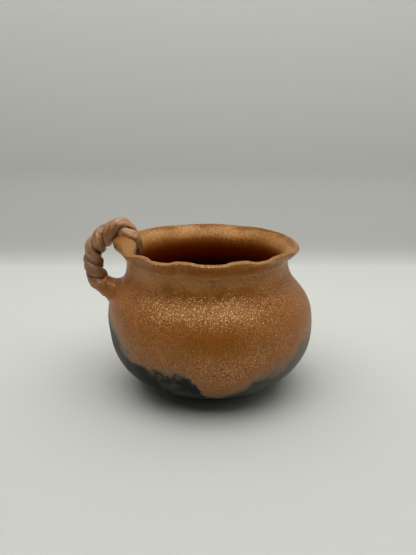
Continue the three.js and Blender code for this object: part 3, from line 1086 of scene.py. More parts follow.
    def _handled(
        self, node: partial, size: bpy.types.Node, cues: WallCues, radius: Socket, height: Socket
    ) -> Socket:
        """Moves a point as the hand did: crimps round the lip, slow unevenness and a settled rim.

        Args:
            node: Adds a node to the tree.
            size: The tree's input node.
            cues: Where the point lies.
            radius: Its radius on the true turned wall.
            height: Its height there.

        Returns:
            Its place.
        """
        lap = node("ShaderNodeMath", (cues.turn, 1 / math.tau, 0.5), operation="MULTIPLY_ADD")
        crimp_range = self.crimp_range / MM
        crimp = node(
            "ShaderNodeFloatCurve", {"Value": lap.outputs[0]},
            points=[((a - 180) / 360, 0.5 + out / crimp_range / 2) for a, out in self.crimps],
        )
        pushed = node("ShaderNodeMapRange", (crimp.outputs[0], 0.0, 1.0, -1.0, 1.0))
        wave = node("ShaderNodeMath", (pushed.outputs[0], cues.rise), operation="MULTIPLY")
        crimped = node(
            "ShaderNodeMath", (wave.outputs[0], size.outputs["Crimp Range"]), operation="MULTIPLY"
        ).outputs[0]
        nod = node("ShaderNodeMath", (size.outputs["Settled"], cues.rise), operation="MULTIPLY")
        sunk = node("ShaderNodeMath", (nod.outputs[0], cues.sine, height), operation="MULTIPLY_ADD")
        fallen = node("ShaderNodeMath", (crimped, size.outputs["Droop"]), operation="MULTIPLY")
        level = node(
            "ShaderNodeMath", (sunk.outputs[0], fallen.outputs[0]), operation="SUBTRACT"
        ).outputs[0]
        wide = node("ShaderNodeVectorMath", {0: cues.ring, "Scale": self.belly_radius}, operation="SCALE")
        up = node("ShaderNodeCombineXYZ", {"Z": cues.height})
        spot = node("ShaderNodeVectorMath", (wide.outputs[0], up.outputs[0]), operation="ADD")
        fine = node("ShaderNodeMath", (1.0, size.outputs["Uneven Patch"]), operation="DIVIDE")
        noise = node(
            "ShaderNodeTexNoise", {"Vector": spot.outputs[0], "Scale": fine.outputs[0], "Detail": 1.0}
        )
        swing = node("ShaderNodeMapRange", (noise.outputs["Fac"], *NOISE_SPAN, -1.0, 1.0))
        off_floor = node(
            "ShaderNodeMapRange", (cues.height, 0.0, self.belly_height / 2), interpolation_type="SMOOTHSTEP"
        )
        loose = node("ShaderNodeMath", (swing.outputs[0], off_floor.outputs[0]), operation="MULTIPLY")
        shaken = node(
            "ShaderNodeMath", (loose.outputs[0], size.outputs["Unevenness"], crimped),
            operation="MULTIPLY_ADD",
        )
        reach = node("ShaderNodeMath", (radius, shaken.outputs[0]), operation="ADD").outputs[0]
        spread = node("ShaderNodeVectorMath", {0: cues.ring, "Scale": reach}, operation="SCALE")
        lifted = node("ShaderNodeCombineXYZ", {"X": self._shift(node, size, cues, reach, level), "Z": level})
        place = node("ShaderNodeVectorMath", (spread.outputs[0], lifted.outputs[0]), operation="ADD")
        return place.outputs[0]

    def _shift(
        self, node: partial, size: bpy.types.Node, cues: WallCues, reach: Socket, level: Socket
    ) -> Socket:
        """Leans the pot towards the handle and lets its lower belly sag that way.

        Args:
            node: Adds a node to the tree.
            size: The tree's input node.
            cues: Where the point lies.
            reach: Its radius.
            level: Its height.

        Returns:
            How far it moves along x.
        """
        tall = node("ShaderNodeMath", (level, size.outputs["Rim Height"]), operation="DIVIDE")
        lean = node("ShaderNodeMath", (tall.outputs[0], size.outputs["Lean"]), operation="MULTIPLY")
        back = node("ShaderNodeMath", (lean.outputs[0], -1.0), operation="MULTIPLY")
        sag_full, sag_gone = self.sag_span
        sag = size.outputs["Sag"]
        for none, full in ((0.0, self.sag_foot), (sag_gone, sag_full)):
            sag = node(
                "ShaderNodeMapRange", (cues.height, none, full, 0.0, sag), interpolation_type="SMOOTHSTEP"
            ).outputs[0]
        fore = node("ShaderNodeMath", (cues.cosine, -0.5, 0.5), operation="MULTIPLY_ADD")
        share = node("ShaderNodeMath", (reach, per(self.belly_radius)), operation="MULTIPLY")
        aside = node("ShaderNodeMath", (fore.outputs[0], share.outputs[0]), operation="MULTIPLY")
        bulge = node("ShaderNodeMath", (aside.outputs[0], sag), operation="MULTIPLY")
        return node("ShaderNodeMath", (back.outputs[0], bulge.outputs[0]), operation="SUBTRACT").outputs[0]


@dataclass
class RopeHandle:
    """The handle: two strands twisted into a rope, from the shoulder over the lip and down inside."""

    wall: PotWall
    diameter: float = 14.8 * MM
    pitch: float = 22.8 * MM
    turn: float = math.radians(-3)
    groove: float = 0.27  # how deep the groove between the strands is, as a share of the radius
    roundness: float = 2.2  # 1 slopes straight into the groove, more keeps a rounder strand
    seam: float = 0.04 * MM
    reach: float = 95.4 * MM
    root_height: float = 72 * MM
    crest_rise: float = 0.9 * MM
    crest_inset: float = 1.5 * MM
    tail: float = 14 * MM
    tail_press: float = 6.2 * MM
    elbow: tuple[float, float] = (0.72, 0.28)
    outermost_rise: float = 0.51
    shoulder_bend: tuple[float, float] = (0.235, 0.635)
    tail_bend: tuple[float, float] = (0.72, 0.27)
    # Along the rope: the share of the twist done by there, and the share of the full thickness
    twisting: Table = ((0, 0), (0.36, 0.36), (0.72, 0.72), (0.86, 0.8), (1, 0.84))
    thickness: Table = (
        (0, 0.9), (0.1, 1), (0.38, 1), (0.55, 1.07), (0.7, 1.15), (0.8, 1.05), (0.92, 0.9), (1, 0.55)
    )
    rings: int = 260
    sides: int = 40
    curve_steps: int = 48
    lump: float = 0.8 * MM
    lump_patch: float = 8 * MM
    wrinkle: float = 0.4 * MM
    wrinkle_patch: tuple[float, float] = (12 * MM, 5.0 * MM)  # along the strand and across it

    def path(self) -> list[Vector]:
        """Gives the points of the rope's middle, from the root to the tail.

        Returns:
            The points.
        """
        wall = self.wall
        radius = self.diameter / 2
        root = wall.handle_side(wall.at_height(self.root_height), self.root_height)
        slope = Vector((wall.lip_spread, 0, wall.lip_swell)).normalized()
        lip_top = wall.handle_side(
            wall.rim_radius - slope.z * wall.lip / 2, wall.rim_height + slope.x * wall.lip / 2
        )
        crest = lip_top + Vector((self.crest_inset, 0, self.crest_rise + radius))
        outermost = Vector((radius - self.reach, 0, mix(root.z, crest.z, self.outermost_rise)))
        tail_height = wall.rim_height - self.tail + self.crest_inset
        tail_wall = wall.handle_side(wall.at_height(tail_height) - wall.wall, tail_height)
        tail = tail_wall + Vector((radius - self.tail_press, 0, 0))
        return [
            root,
            self._bend(root, outermost, self.elbow),
            outermost,
            self._bend(outermost, crest, self.shoulder_bend),
            crest,
            self._bend(crest, tail, self.tail_bend),
            tail,
        ]

    @staticmethod
    def _bend(start: Vector, end: Vector, shares: tuple[float, float]) -> Vector:
        """Gives the point that lies one share of the way along x and another up z."""
        return Vector((mix(start.x, end.x, shares[0]), 0, mix(start.z, end.z, shares[1])))

    def sizes(self, strand: Strand, material: bpy.types.Material) -> dict[str, object]:
        """Gives the values of the tree's inputs for one strand.

        Args:
            strand: The strand.
            material: The clay.

        Returns:
            The values by the inputs' names.
        """
        return {
            "Rings": self.rings,
            "Sides": self.sides,
            "Pitch": self.pitch,
            "Start Turn": self.turn + strand.value,
            "Radius": self.diameter / 2,
            "Groove": self.groove,
            "Roundness": self.roundness,
            "Half Seam": self.seam / 2,
            "Lump": self.lump,
            "Lump Patch": self.lump_patch,
            "Wrinkle": self.wrinkle,
            "Material": material,
        }

    def build(self, material: bpy.types.Material) -> list[bpy.types.Object]:
        """Twists the two strands.

        Args:
            material: The clay.

        Returns:
            The pieces.
        """
        tree = self._tree(self.sizes(Strand.A, material))
        pieces = []
        for strand in Strand:
            sizes = self.sizes(strand, material)
            name = f"rope_strand_{strand.name.lower()}"
            pieces.append(grown_piece(name, self._host(), tree, sizes))
        return pieces

    def _host(self) -> bpy.types.Object:
        """Makes the curve that the strands follow."""
        path = self.path()
        curve = bpy.data.curves.new("rope_path", "CURVE")
        curve.dimensions = "3D"
        spline = curve.splines.new("BEZIER")
        spline.bezier_points.add(len(path) - 1)
        spline.resolution_u = self.curve_steps
        for i, knot in enumerate(spline.bezier_points):
            lead = (path[min(i + 1, len(path) - 1)] - path[max(i - 1, 0)]) / 6
            knot.handle_left_type = knot.handle_right_type = "FREE"
            knot.handle_left, knot.co, knot.handle_right = path[i] - lead, path[i], path[i] + lead
        return bpy.data.objects.new("rope_path", curve)

    def _tree(self, sizes: Mapping[str, object]) -> bpy.types.NodeTree:
        """Makes the tree that carries a strand's section along the rope while it turns.

        Args:
            sizes: The tree's inputs.

        Returns:
            The tree.
        """
        tree, size = geometry_tree("twisted_strand", sizes)
        node = partial(add_node, tree)
        even = node(
            "GeometryNodeResampleCurve", {"Curve": size.outputs["Geometry"], "Count": size.outputs["Rings"]}
        )
        along = node("GeometryNodeSplineParameter")
        length = node("GeometryNodeCurveLength", (even.outputs[0],)).outputs[0]
        eased = node("ShaderNodeFloatCurve", {"Value": along.outputs["Factor"]}, points=self.twisting)
        wound = node("ShaderNodeMath", (eased.outputs[0], length), operation="MULTIPLY")
        laps = node("ShaderNodeMath", (wound.outputs[0], size.outputs["Pitch"]), operation="DIVIDE")
        twist = node(
            "ShaderNodeMath", (laps.outputs[0], -math.tau, size.outputs["Start Turn"]),
            operation="MULTIPLY_ADD",
        )
        tilted = node("GeometryNodeSetCurveTilt", {"Curve": even.outputs[0], "Tilt": twist.outputs[0]})
        paced = node(
            "GeometryNodeStoreNamedAttribute",
            {"Geometry": tilted.outputs[0], "Name": "along", "Value": along.outputs["Length"]},
            domain="POINT",
        )

        stoutest = max(part for _, part in self.thickness)
        stoutness = node(
            "ShaderNodeFloatCurve", {"Value": along.outputs["Factor"]},
            points=[(place, part / stoutest) for place, part in self.thickness],
        )
        taper = node("ShaderNodeMath", (stoutness.outputs[0], stoutest), operation="MULTIPLY")
        tube = node(
            "GeometryNodeCurveToMesh",
            {
                "Curve": paced.outputs[0], "Profile Curve": self._section(node, size),
                "Scale": taper.outputs[0], "Fill Caps": True,
            },
        )

        finish_tree(tree, self._kneaded(node, size, tube.outputs[0]), size)
        return tree

    def _section(self, node: partial, size: bpy.types.Node) -> Socket:
        """Draws a strand's section: a D with its flat side on the rope's axis, drawn in at the groove.

        Args:
            node: Adds a node to the tree.
            size: The tree's input node.

        Returns:
            The section's curve.
        """
        circle = node("GeometryNodeCurvePrimitiveCircle", {0: size.outputs["Sides"], "Radius": 1.0})
        flat = node("ShaderNodeSeparateXYZ", (node("GeometryNodeInputPosition").outputs[0],))
        swung = node("ShaderNodeMath", (flat.outputs["X"],), operation="ARCCOSINE")
        quarter = node("ShaderNodeMath", (swung.outputs[0], 2 / math.pi), operation="MULTIPLY")
        aside = node("ShaderNodeMath", (quarter.outputs[0], 1.0), operation="MINIMUM")
        drawn = node("ShaderNodeMath", (aside.outputs[0], size.outputs["Roundness"]), operation="POWER")
        less = node("ShaderNodeMath", (drawn.outputs[0], size.outputs["Groove"]), operation="MULTIPLY")
        kept = node("ShaderNodeMath", (1.0, less.outputs[0]), operation="SUBTRACT")
        reach = node("ShaderNodeMath", (kept.outputs[0], size.outputs["Radius"]), operation="MULTIPLY")
        ahead = node("ShaderNodeMath", (flat.outputs["X"], 0.0), operation="MAXIMUM")
        out = node(
            "ShaderNodeMath",
            (ahead.outputs[0], reach.outputs[0], size.outputs["Half Seam"]), operation="MULTIPLY_ADD",
        )
        across = node("ShaderNodeMath", (flat.outputs["Y"], reach.outputs[0]), operation="MULTIPLY")
        section = node("ShaderNodeCombineXYZ", {"X": out.outputs[0], "Y": across.outputs[0]})
        crest = node("ShaderNodeMath", (1.0, drawn.outputs[0]), operation="SUBTRACT")
        marked = node(
            "GeometryNodeStoreNamedAttribute",
            {"Geometry": circle.outputs[0], "Name": "crest", "Value": crest.outputs[0]}, domain="POINT",
        )
        turned = node("ShaderNodeMath", (flat.outputs["Y"], flat.outputs["X"]), operation="ARCTAN2")
        girth = node("ShaderNodeMath", (turned.outputs[0], size.outputs["Radius"]), operation="MULTIPLY")
        told = node(
            "GeometryNodeStoreNamedAttribute",
            {"Geometry": marked.outputs[0], "Name": "around", "Value": girth.outputs[0]}, domain="POINT",
        )
        shaped = node("GeometryNodeSetPosition", {0: told.outputs[0], "Position": section.outputs[0]})
        return shaped.outputs[0]

    def _kneaded(self, node: partial, size: bpy.types.Node, tube: Socket) -> Socket:
        """Makes a strand a little lumpy and wrinkled, because it is rolled by hand.

        Args:
            node: Adds a node to the tree.
            size: The tree's input node.
            tube: The smooth strand.

        Returns:
            The strand.
        """
        fine = node("ShaderNodeMath", (1.0, size.outputs["Lump Patch"]), operation="DIVIDE")
        noise = node("ShaderNodeTexNoise", {"Scale": fine.outputs[0], "Detail": 2.0})
        swing = node("ShaderNodeMapRange", (noise.outputs["Fac"], *NOISE_SPAN, -1.0, 1.0))
        rough = node("ShaderNodeMath", (swing.outputs[0], size.outputs["Lump"]), operation="MULTIPLY")
        far = node("GeometryNodeInputNamedAttribute", {"Name": "along"}, data_type="FLOAT").outputs[0]
        wide = node("GeometryNodeInputNamedAttribute", {"Name": "around"}, data_type="FLOAT").outputs[0]
        long, short = self.wrinkle_patch
        pace = node("ShaderNodeMath", (far, per(long)), operation="MULTIPLY")
        lane = node("ShaderNodeMath", (wide, per(short)), operation="MULTIPLY")
        spot = node(
            "ShaderNodeCombineXYZ",
            {"X": pace.outputs[0], "Y": lane.outputs[0], "Z": size.outputs["Start Turn"]},
        )
        crease = node("ShaderNodeTexNoise", {"Vector": spot.outputs[0], "Scale": 1.0, "Detail": 2.0})
        fold = node("ShaderNodeMapRange", (crease.outputs["Fac"], *NOISE_SPAN, -1.0, 1.0))
        offset = node(
            "ShaderNodeMath",
            (fold.outputs[0], size.outputs["Wrinkle"], rough.outputs[0]), operation="MULTIPLY_ADD",
        )
        lumpy = node(
            "ShaderNodeVectorMath",
            {0: node("GeometryNodeInputNormal").outputs[0], "Scale": offset.outputs[0]}, operation="SCALE",
        )
        folded = node(
            "GeometryNodeStoreNamedAttribute",
            {"Geometry": tube, "Name": "fold", "Value": crease.outputs["Fac"]}, domain="POINT",
        )
        pressed = node("GeometryNodeSetPosition", {0: folded.outputs[0], "Offset": lumpy.outputs[0]})
        return pressed.outputs[0]


@dataclass
class HandleWads:
    """The wads of clay that lute the rope to the shoulder and to the rim."""

    rope: RopeHandle
    skin: BVHTree
    neck: float = 11 * MM  # how far up the rope the lower wad reaches
    foot: tuple[float, float] = (17 * MM, 16 * MM)  # its half length and half width on the wall
    leave: tuple[float, float] = (0.85, 1.3)  # how stiffly it leaves the rope, inwards and outwards
    arrive: tuple[float, float] = (0.35, 0.15)  # and how softly it runs out on the wall
    sink: float = 0.5 * MM
    columns: int = 48
    steps: int = 18
    lip_probes: int = 60
    lip_overhang: float = 1.08
    shelf_ends: tuple[float, float] = (152, 229)  # azimuths where the upper wad runs out
    shelf_full: tuple[float, float] = (172, 192)  # and between which it is full
    # The upper wad's sizes at its ends and where it is full
    shelf_reach: tuple[float, float] = (1.2 * MM, 11.5 * MM)  # how far in it stands
    shelf_drop: tuple[float, float] = (3 * MM, 13 * MM)  # how far down the inside it runs
    shelf_lift: tuple[float, float] = (-0.5 * MM, 1.2 * MM)
    shelf_skirt: tuple[float, float] = (1.5 * MM, 6 * MM)  # how far down the outside it is smeared
    over_rise: tuple[float, float] = (-0.4 * MM, 0.4 * MM)
    over_reach: tuple[float, float] = (0.3 * MM, 1.0 * MM)
    shelf_swell: float = 2.2 * MM
    # How much higher and further out it stands under the rope, and how much less it swells there
    rope_lift: float = 5.5 * MM
    rope_push: float = 1.6 * MM
    rope_slack: float = 0.5
    rope_azimuth: float = 181
    rope_spread: float = 15
    # Its section's points, as shares of its sizes
    over_lift: tuple[float, float] = (0.12, 0.3)  # of the lift, and of the lift under the rope
    flank: float = 0.5  # of the way down the outside
    crown: float = 0.36  # of the reach
    brim: tuple[float, float, float] = (0.92, 0.6, 0.07)  # of the reach, the lift and the drop
    knee: tuple[float, float] = (0.55, 0.1)  # of the way to the foot, and of the reach
    bury: tuple[float, float] = (0.6 * MM, 0.9 * MM)  # how deep its outer and inner edge lie in the wall
    foot_core: tuple[float, float] = (1.4 * MM, 1.2 * MM)  # inside the wall, out and up from the foot
    lip_core: tuple[float, float] = (0.2 * MM, -2.6 * MM)  # and from the top of the lip
    shelf_rows: int = 60
    shelf_steps: int = 6
    rope_shade_reach: float = 8 * MM  # how far from the rope the painted shade reaches
    # How much painted shade the wad gets beside the rope, on the inside's scale
    rope_shade: float = 0.4
    rope_steps: int = 12

    def build_lower(self, material: bpy.types.Material) -> bpy.types.Object:
        """Spreads the rope's lower end on the shoulder like the foot of a trumpet.

        Args:
            material: The clay.

        Returns:
            The piece.
        """
        path = self.rope.path()
        root = path[0]
        out = (path[1] - root).normalized()
        side = Vector((0, 1, 0))
        _, normal, _, _ = self.skin.find_nearest(root)
        slope = side.cross(normal).normalized()
        across = side.cross(out).normalized()
        start = root + out * self.neck
        radius = self.rope.diameter / 2 - self.sink
        columns = []
        for i in range(self.columns):
            angle = math.tau * i / self.columns
            top = start + radius * (math.cos(angle) * across + math.sin(angle) * side)
            spread = self.foot[0] * math.cos(angle) * slope + self.foot[1] * math.sin(angle) * side
            touch, inwards, _, _ = self.skin.find_nearest(root + spread)
            foot = touch - inwards * self.sink
            flow = (spread - spread.dot(inwards) * inwards).normalized()
            outer = (1 - math.cos(angle)) / 2
            leave = top - out * self.neck * mix(*self.leave, outer)
            arrive = foot - flow * self.foot[0] * mix(*self.arrive, outer)
            columns.append(interpolate_bezier(top, leave, arrive, foot, self.steps))
        rings = [list(ring) for ring in zip(*columns)]
        return lofted_piece("lower_wad", rings, material)

    def lip_top(self, azimuth: float) -> Vector:
        """Finds the top of the lip at an azimuth.

        Args:
            azimuth: The azimuth in degrees, round the rim's middle.

        Returns:
            The point.
        """
        wall = self.rope.wall
        middle = Vector((wall.lean_at(wall.rim_height), 0, 0))
        way = Vector((math.cos(math.radians(azimuth)), math.sin(math.radians(azimuth)), 0))
        above = Vector((0, 0, 2 * wall.rim_height))
        hits = []
        for step in range(self.lip_probes):
            share = step / (self.lip_probes - 1)
            radius = mix(wall.neck_radius, wall.rim_radius * self.lip_overhang, share)
            hit, _, _, _ = self.skin.ray_cast(middle + way * radius + above, Vector((0, 0, -1)))
            if hit is not None and hit.z > wall.neck_height:
                hits.append(hit)
        return max(hits, key=lambda hit: hit.z)

    def build_upper(self, material: bpy.types.Material) -> bpy.types.Object:
        """Smears the rope's upper end over the lip, down the outside and down the inside.

        Args:
            material: The clay.

        Returns:
            The piece.
        """
        rows = range(self.shelf_rows + 1)
        rings = [self._section(mix(*self.shelf_ends, row / self.shelf_rows)) for row in rows]
        piece = lofted_piece("upper_wad", rings, material)
        self._mark(piece.data)
        return piece

    def _section(self, azimuth: float) -> list[Vector]:
        """Gives the upper wad's closed section at an azimuth.

        Args:
            azimuth: The azimuth in degrees, round the rim's middle.

        Returns:
            The section's points: from the outer edge over the lip to the foot, and back in the wall.
        """
        wall = self.rope.wall
        full = smoothstep(azimuth, self.shelf_ends[0], self.shelf_full[0])
        full *= 1 - smoothstep(azimuth, self.shelf_full[1], self.shelf_ends[1])
        under = math.exp(-((azimuth - self.rope_azimuth) / self.rope_spread) ** 2)
        top = self.lip_top(azimuth)
        way = Vector((math.cos(math.radians(azimuth)), math.sin(math.radians(azimuth)), 0))
        up = Vector((0, 0, 1))
        drop = mix(*self.shelf_drop, full)
        reach = mix(*self.shelf_reach, full)
        rope_lift = self.rope_lift * under
        lift = mix(*self.shelf_lift, full ** 2) + rope_lift

        middle = Vector((wall.lean_at(top.z - drop), 0, top.z - drop))
        inner, _, _, _ = self.skin.ray_cast(middle, way)
        below = top.z - mix(*self.shelf_skirt, full)
        outside = Vector((wall.lean_at(below), 0, below)) + way * 2 * wall.rim_radius
        outer, _, _, _ = self.skin.ray_cast(outside, -way)

        edge = outer - way * self.bury[0]
        rise = mix(*self.over_rise, full) + lift * self.over_lift[0] + rope_lift * self.over_lift[1]
        over = top + way * (mix(*self.over_reach, full) + self.rope_push * under) + up * rise
        swell = self.shelf_swell * full * (1 - self.rope_slack * under)
        flank = mix_points(over, outer, self.flank) + way * swell
        crown = top - way * reach * self.crown + up * lift
        brim_reach, brim_lift, brim_drop = self.brim
        brim = top - way * reach * brim_reach + up * (lift * brim_lift - drop * brim_drop)
        foot = inner + way * self.bury[1]
        knee = mix_points(brim, foot, self.knee[0]) - way * reach * self.knee[1]
        curve = rounded([edge, flank, over, crown, brim, knee, foot], self.shelf_steps)
        cores = ((foot, self.foot_core), (top, self.lip_core))
        return curve + [start + way * out + up * higher for start, (out, higher) in cores]

    def _mark(self, mesh: bpy.types.Mesh) -> None:
        """Marks the upper wad to take the lip's paler colour, with painted shade beside the rope.

        Args:
            mesh: The wad's mesh.
        """
        line = rounded(self.rope.path(), self.rope_steps)
        radius = self.rope.diameter / 2
        # Painted shade beside the rope, carried in the inside attribute
        dull_and_shade = []
        for vertex in mesh.vertices:
            away = min((vertex.co - point).length for point in line) - radius
            dull_and_shade.append(self.rope_shade * (1 - smoothstep(away, 0, self.rope_shade_reach)))
        mesh.attributes.new("inside", "FLOAT", "POINT").data.foreach_set("value", dull_and_shade)
        mesh.attributes.new("lip", "FLOAT", "POINT").data.foreach_set("value", [1.0] * len(dull_and_shade))


def mix_points(start: Vector, end: Vector, share: float) -> Vector:
    """Gives the point that lies a share of the way from start to end."""
    return start + (end - start) * share


def rounded(points: Sequence[Vector], steps: int) -> list[Vector]:
    """Runs a smooth curve through a few points.

    Args:
        points: The points.
        steps: The steps between two points.

    Returns:
        The curve's points.
    """
    curve: list[Vector] = []
    last = len(points) - 1
    for i in range(last):
        leave = points[i] + (points[i + 1] - points[max(i - 1, 0)]) / 6
        arrive = points[i + 1] - (points[min(i + 2, last)] - points[i]) / 6
        curve += interpolate_bezier(points[i], leave, arrive, points[i + 1], steps + 1)[:-1]
    return curve + [points[-1]]


@dataclass
class MicaSlip:
    """The larger mica flakes that stand out of the slip."""

    flake: float = 0.6 * MM
    thickness: float = 0.06 * MM
    density: float = 60000.0  # flakes on a square metre
    tilt: float = math.radians(13)
    clear: tuple[float, float] = (44 * MM, 58 * MM)  # between these heights the flakes set in
    smallest: float = 0.45
    corners: int = 6
    seed: int = 7

    def sizes(self, material: bpy.types.Material) -> dict[str, object]:
        """Gives the values of the tree's inputs.

        Args:
            material: The piece's material.

        Returns:
            The values by the inputs' names.
        """
        return {
            "Flake": self.flake,
            "Thickness": self.thickness,
            "Density": self.density,
            "Tilt": self.tilt,
            "Smallest": self.smallest,
            "Corners": self.corners,
            "Seed": self.seed,
            "Material": material,
        }

    def build(self, wall: bpy.types.Object, material: bpy.types.Material) -> bpy.types.Object:
        """Scatters the flakes over the wall.

        Args:
            wall: The wall's piece.
            material: The mica.

        Returns:
            The piece.
        """
        sizes = self.sizes(material)
        host = bpy.data.objects.new("slip", wall.data.copy())
        return grown_piece("mica_flakes", host, self._tree(sizes), sizes)

    def _tree(self, sizes: Mapping[str, object]) -> bpy.types.NodeTree:
        """Makes the tree that lays thin plates on the wall, each with its own small tilt.

        Args:
            sizes: The tree's inputs.

        Returns:
            The tree.
        """
        tree, size = geometry_tree("mica_slip", sizes)
        node = partial(add_node, tree)
        seed = size.outputs["Seed"]
        height = node("ShaderNodeSeparateXYZ", (node("GeometryNodeInputPosition").outputs[0],))
        bare, coated = self.clear
        raised = node(
            "ShaderNodeMapRange", (height.outputs["Z"], bare, coated, 0.0, size.outputs["Density"])
        )
        deep = node("GeometryNodeInputNamedAttribute", {"Name": "inside"}, data_type="FLOAT")
        open_air = node("ShaderNodeMath", (1.0, deep.outputs[0]), operation="SUBTRACT")
        density = node("ShaderNodeMath", (raised.outputs[0], open_air.outputs[0]), operation="MULTIPLY")
        spots = node(
            "GeometryNodeDistributePointsOnFaces",
            {"Mesh": size.outputs["Geometry"], "Density": density.outputs[0], "Seed": seed},
        )
        half = node("ShaderNodeMath", (size.outputs["Flake"], 0.5), operation="MULTIPLY")
        plate = node(
            "GeometryNodeMeshCylinder",
            {
                "Vertices": size.outputs["Corners"], "Radius": half.outputs[0],
                "Depth": size.outputs["Thickness"],
            },
        )
        less = node("ShaderNodeMath", (size.outputs["Tilt"], -1.0), operation="MULTIPLY")
        least = node("ShaderNodeCombineXYZ", {"X": less.outputs[0], "Y": less.outputs[0], "Z": -math.pi})
        most = node(
            "ShaderNodeCombineXYZ", {"X": size.outputs["Tilt"], "Y": size.outputs["Tilt"], "Z": math.pi}
        )
        lean = node(
            "FunctionNodeRandomValue", {0: least.outputs[0], 1: most.outputs[0], "Seed": seed},
            data_type="FLOAT_VECTOR",
        )
        turned = node("FunctionNodeEulerToRotation", (lean.outputs[0],))
        laid = node(
            "FunctionNodeRotateRotation", (spots.outputs["Rotation"], turned.outputs[0]),
            rotation_space="LOCAL",
        )
        grown = node(
            "FunctionNodeRandomValue", {2: size.outputs["Smallest"], 3: 1.0, "Seed": seed},
            data_type="FLOAT",
        )
        flakes = node(
            "GeometryNodeInstanceOnPoints",
            {
                "Points": spots.outputs["Points"], "Instance": plate.outputs["Mesh"],
                "Rotation": laid.outputs[0], "Scale": grown.outputs[1],
            },
        )
        real = node("GeometryNodeRealizeInstances", {"Geometry": flakes.outputs[0]})
        dressed = node(
            "GeometryNodeSetMaterial", {"Geometry": real.outputs[0], "Material": size.outputs["Material"]}
        )
        node("NodeGroupOutput", (dressed.outputs[0],))
        return tree


@dataclass(frozen=True)
class Panel:
    """A soft light panel: where it hangs, its width and height in metres, its power in watts."""

    name: str
    place: tuple[float, float, float]
    size: tuple[float, float]
    power: float


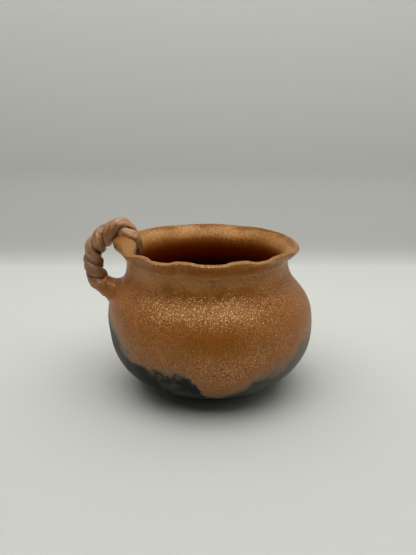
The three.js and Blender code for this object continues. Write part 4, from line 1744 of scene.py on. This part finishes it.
@dataclass
class Studio:
    """A pale paper sweep, soft light from overhead with a little from behind, and the camera."""

    paper: str = "#ddded8"
    paper_roughness: float = 0.8
    paper_gloss: float = 0.2
    # Painted shade on the paper, as how much of its colour is left: along the floor from front to back, and
    # up the wall
    floor_span: Span = (-0.03, 0.3)
    floor_shades: Table = ((0, 0.785), (0.18, 0.81), (0.36, 0.84), (1, 0.88))
    wall_span: float = 0.35
    wall_shades: Table = (
        (0, 1), (0.02, 0.78), (0.057, 0.66), (0.143, 0.685), (0.28, 0.78), (0.4, 0.815), (1, 0.93),
    )
    sweep_start: float = 0.33
    sweep_radius: float = 0.12
    sweep_steps: int = 24
    half_width: float = 3.0
    front: float = -4.0
    top: float = 2.0
    panels: tuple[Panel, ...] = (
        Panel("overhead", (0, -0.3, 1.2), (1.8, 1.0), 16.1),
        Panel("back", (0, 0.25, 0.9), (1.6, 0.3), 2.3),
        Panel("left", (-1.2, -0.3, 0.5), (1.0, 0.9), 0.35),
        Panel("right", (1.2, -0.3, 0.5), (1.0, 0.9), 1.2),
    )
    light_aim: tuple[float, float, float] = (0, 0, 0.06)
    camera_place: tuple[float, float, float] = (-4.6 * MM, -395.8 * MM, 196.1 * MM)
    camera_aim: tuple[float, float, float] = (-4.6 * MM, 0, 81.5 * MM)
    lens: float = 36.32
    world: str = "#8f908c"
    world_strength: float = 0.18

    def build(self) -> None:
        """Sets the stage, the lights and the camera."""
        self._sweep()
        for panel in self.panels:
            self._hang(panel)
        self._surround()
        self._camera()
        bpy.context.scene.view_settings.view_transform = "Standard"

    def _hang(self, panel: Panel) -> None:
        """Hangs a light panel and points it at the pot.

        Args:
            panel: The panel.
        """
        lamp = bpy.data.lights.new(panel.name, "AREA")
        lamp.shape = "RECTANGLE"
        lamp.size, lamp.size_y = panel.size
        lamp.energy = panel.power
        light = bpy.data.objects.new(panel.name, lamp)
        light.location = panel.place
        way = Vector(self.light_aim) - Vector(panel.place)
        light.rotation_euler = way.to_track_quat("-Z", "Y").to_euler()
        light.visible_camera = False
        bpy.context.scene.collection.objects.link(light)

    def _sweep(self) -> None:
        """Makes the floor and the wall behind as one curved sheet of paper."""
        quarter = [math.pi / 2 * i / self.sweep_steps for i in range(self.sweep_steps + 1)]
        profile = [(self.front, 0.0)] + [
            (
                self.sweep_start + self.sweep_radius * math.sin(angle),
                self.sweep_radius * (1 - math.cos(angle)),
            )
            for angle in quarter
        ] + [(self.sweep_start + self.sweep_radius, self.top)]
        points = [(x, y, z) for y, z in profile for x in (-self.half_width, self.half_width)]
        faces = [(2 * i, 2 * i + 1, 2 * i + 3, 2 * i + 2) for i in range(len(profile) - 1)]
        mesh = bpy.data.meshes.new("paper_sweep")
        mesh.from_pydata(points, [], faces)
        mesh.shade_smooth()
        material = bpy.data.materials.new("matt studio paper")
        material.use_nodes = True
        tree = material.node_tree
        shader = tree.nodes["Principled BSDF"]
        place = add_node(tree, "ShaderNodeTexCoord").outputs["Object"]
        xyz = add_node(tree, "ShaderNodeSeparateXYZ", (place,))
        near, far = self.floor_span
        back = add_node(tree, "ShaderNodeMapRange", (xyz.outputs["Y"], near, far))
        floor = add_node(tree, "ShaderNodeFloatCurve", {"Value": back.outputs[0]}, points=self.floor_shades)
        rise = add_node(tree, "ShaderNodeMapRange", (xyz.outputs["Z"], 0.0, self.wall_span))
        wall = add_node(tree, "ShaderNodeFloatCurve", {"Value": rise.outputs[0]}, points=self.wall_shades)
        shade = add_node(tree, "ShaderNodeMath", (floor.outputs[0], wall.outputs[0]), operation="MULTIPLY")
        tone = add_node(
            tree, "ShaderNodeMix",
            {0: shade.outputs[0], 6: (0.0, 0.0, 0.0, 1.0), 7: linear(self.paper)}, data_type="RGBA",
        )
        tree.links.new(tone.outputs[2], shader.inputs["Base Color"])
        shader.inputs["Roughness"].default_value = self.paper_roughness
        shader.inputs["Specular IOR Level"].default_value = self.paper_gloss
        mesh.materials.append(material)
        plain_piece("paper_sweep", mesh)

    def _surround(self) -> None:
        """Lights the room evenly and dimly from all round."""
        world = bpy.data.worlds.new("room")
        world.use_nodes = True
        tree = world.node_tree
        light = tree.nodes["Background"]
        light.inputs["Color"].default_value = linear(self.world)
        light.inputs["Strength"].default_value = self.world_strength
        seen = add_node(tree, "ShaderNodeBackground", {"Color": linear(self.paper)})
        ray = add_node(tree, "ShaderNodeLightPath")
        both = add_node(
            tree, "ShaderNodeMixShader", (ray.outputs["Is Camera Ray"], light.outputs[0], seen.outputs[0])
        )
        tree.links.new(both.outputs[0], tree.nodes["World Output"].inputs["Surface"])
        bpy.context.scene.world = world

    def _camera(self) -> None:
        """Places the camera at the photograph's viewing angle."""
        lens = bpy.data.cameras.new("camera")
        lens.lens = self.lens
        camera = bpy.data.objects.new("camera", lens)
        camera.location = self.camera_place
        way = Vector(self.camera_aim) - Vector(self.camera_place)
        camera.rotation_euler = way.to_track_quat("-Z", "Y").to_euler()
        bpy.context.scene.collection.objects.link(camera)
        bpy.context.scene.camera = camera


def hand_over(piece: bpy.types.Object, slot: Slot, *nodes: str) -> None:
    """Ties a piece to the frame and reports it.

    Args:
        piece: The piece.
        slot: The record's slot that its finish comes from; not used.
        nodes: The solids that it stands for.
    """
    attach(piece, ROOT)
    if nodes:
        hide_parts(*nodes)
    log.info("%s: %d faces, for %s", piece.name, len(piece.data.polygons), ", ".join(nodes) or "itself")


def main() -> None:
    """Builds the pot's pieces in order and sets the studio."""
    logging.basicConfig(level=logging.INFO, format="%(name)s: %(message)s")
    burnished = BurnishedClay().build()
    rolled = RolledClay().build()
    mica = MicaFlake().build()

    wall = PotWall()
    pot = wall.build(burnished)
    coils = sorted(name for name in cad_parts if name.startswith("wall_coil"))
    hand_over(pot, Slot.WALL, "base_slab", *coils, "rim_coil")

    rope = RopeHandle(wall)
    for strand in rope.build(rolled):
        hand_over(strand, Slot.ROPE, strand.name.replace("rope", "handle"))

    skin = BVHTree.FromPolygons(
        [vertex.co for vertex in pot.data.vertices], [face.vertices for face in pot.data.polygons]
    )
    wads = HandleWads(rope, skin)
    hand_over(wads.build_lower(burnished), Slot.ROPE, "lower_handle_wad")
    hand_over(wads.build_upper(burnished), Slot.RIM, "upper_handle_wad")
    hand_over(MicaSlip().build(pot, mica), Slot.WALL)

    Studio().build()


if __name__ == "__main__":
    main()
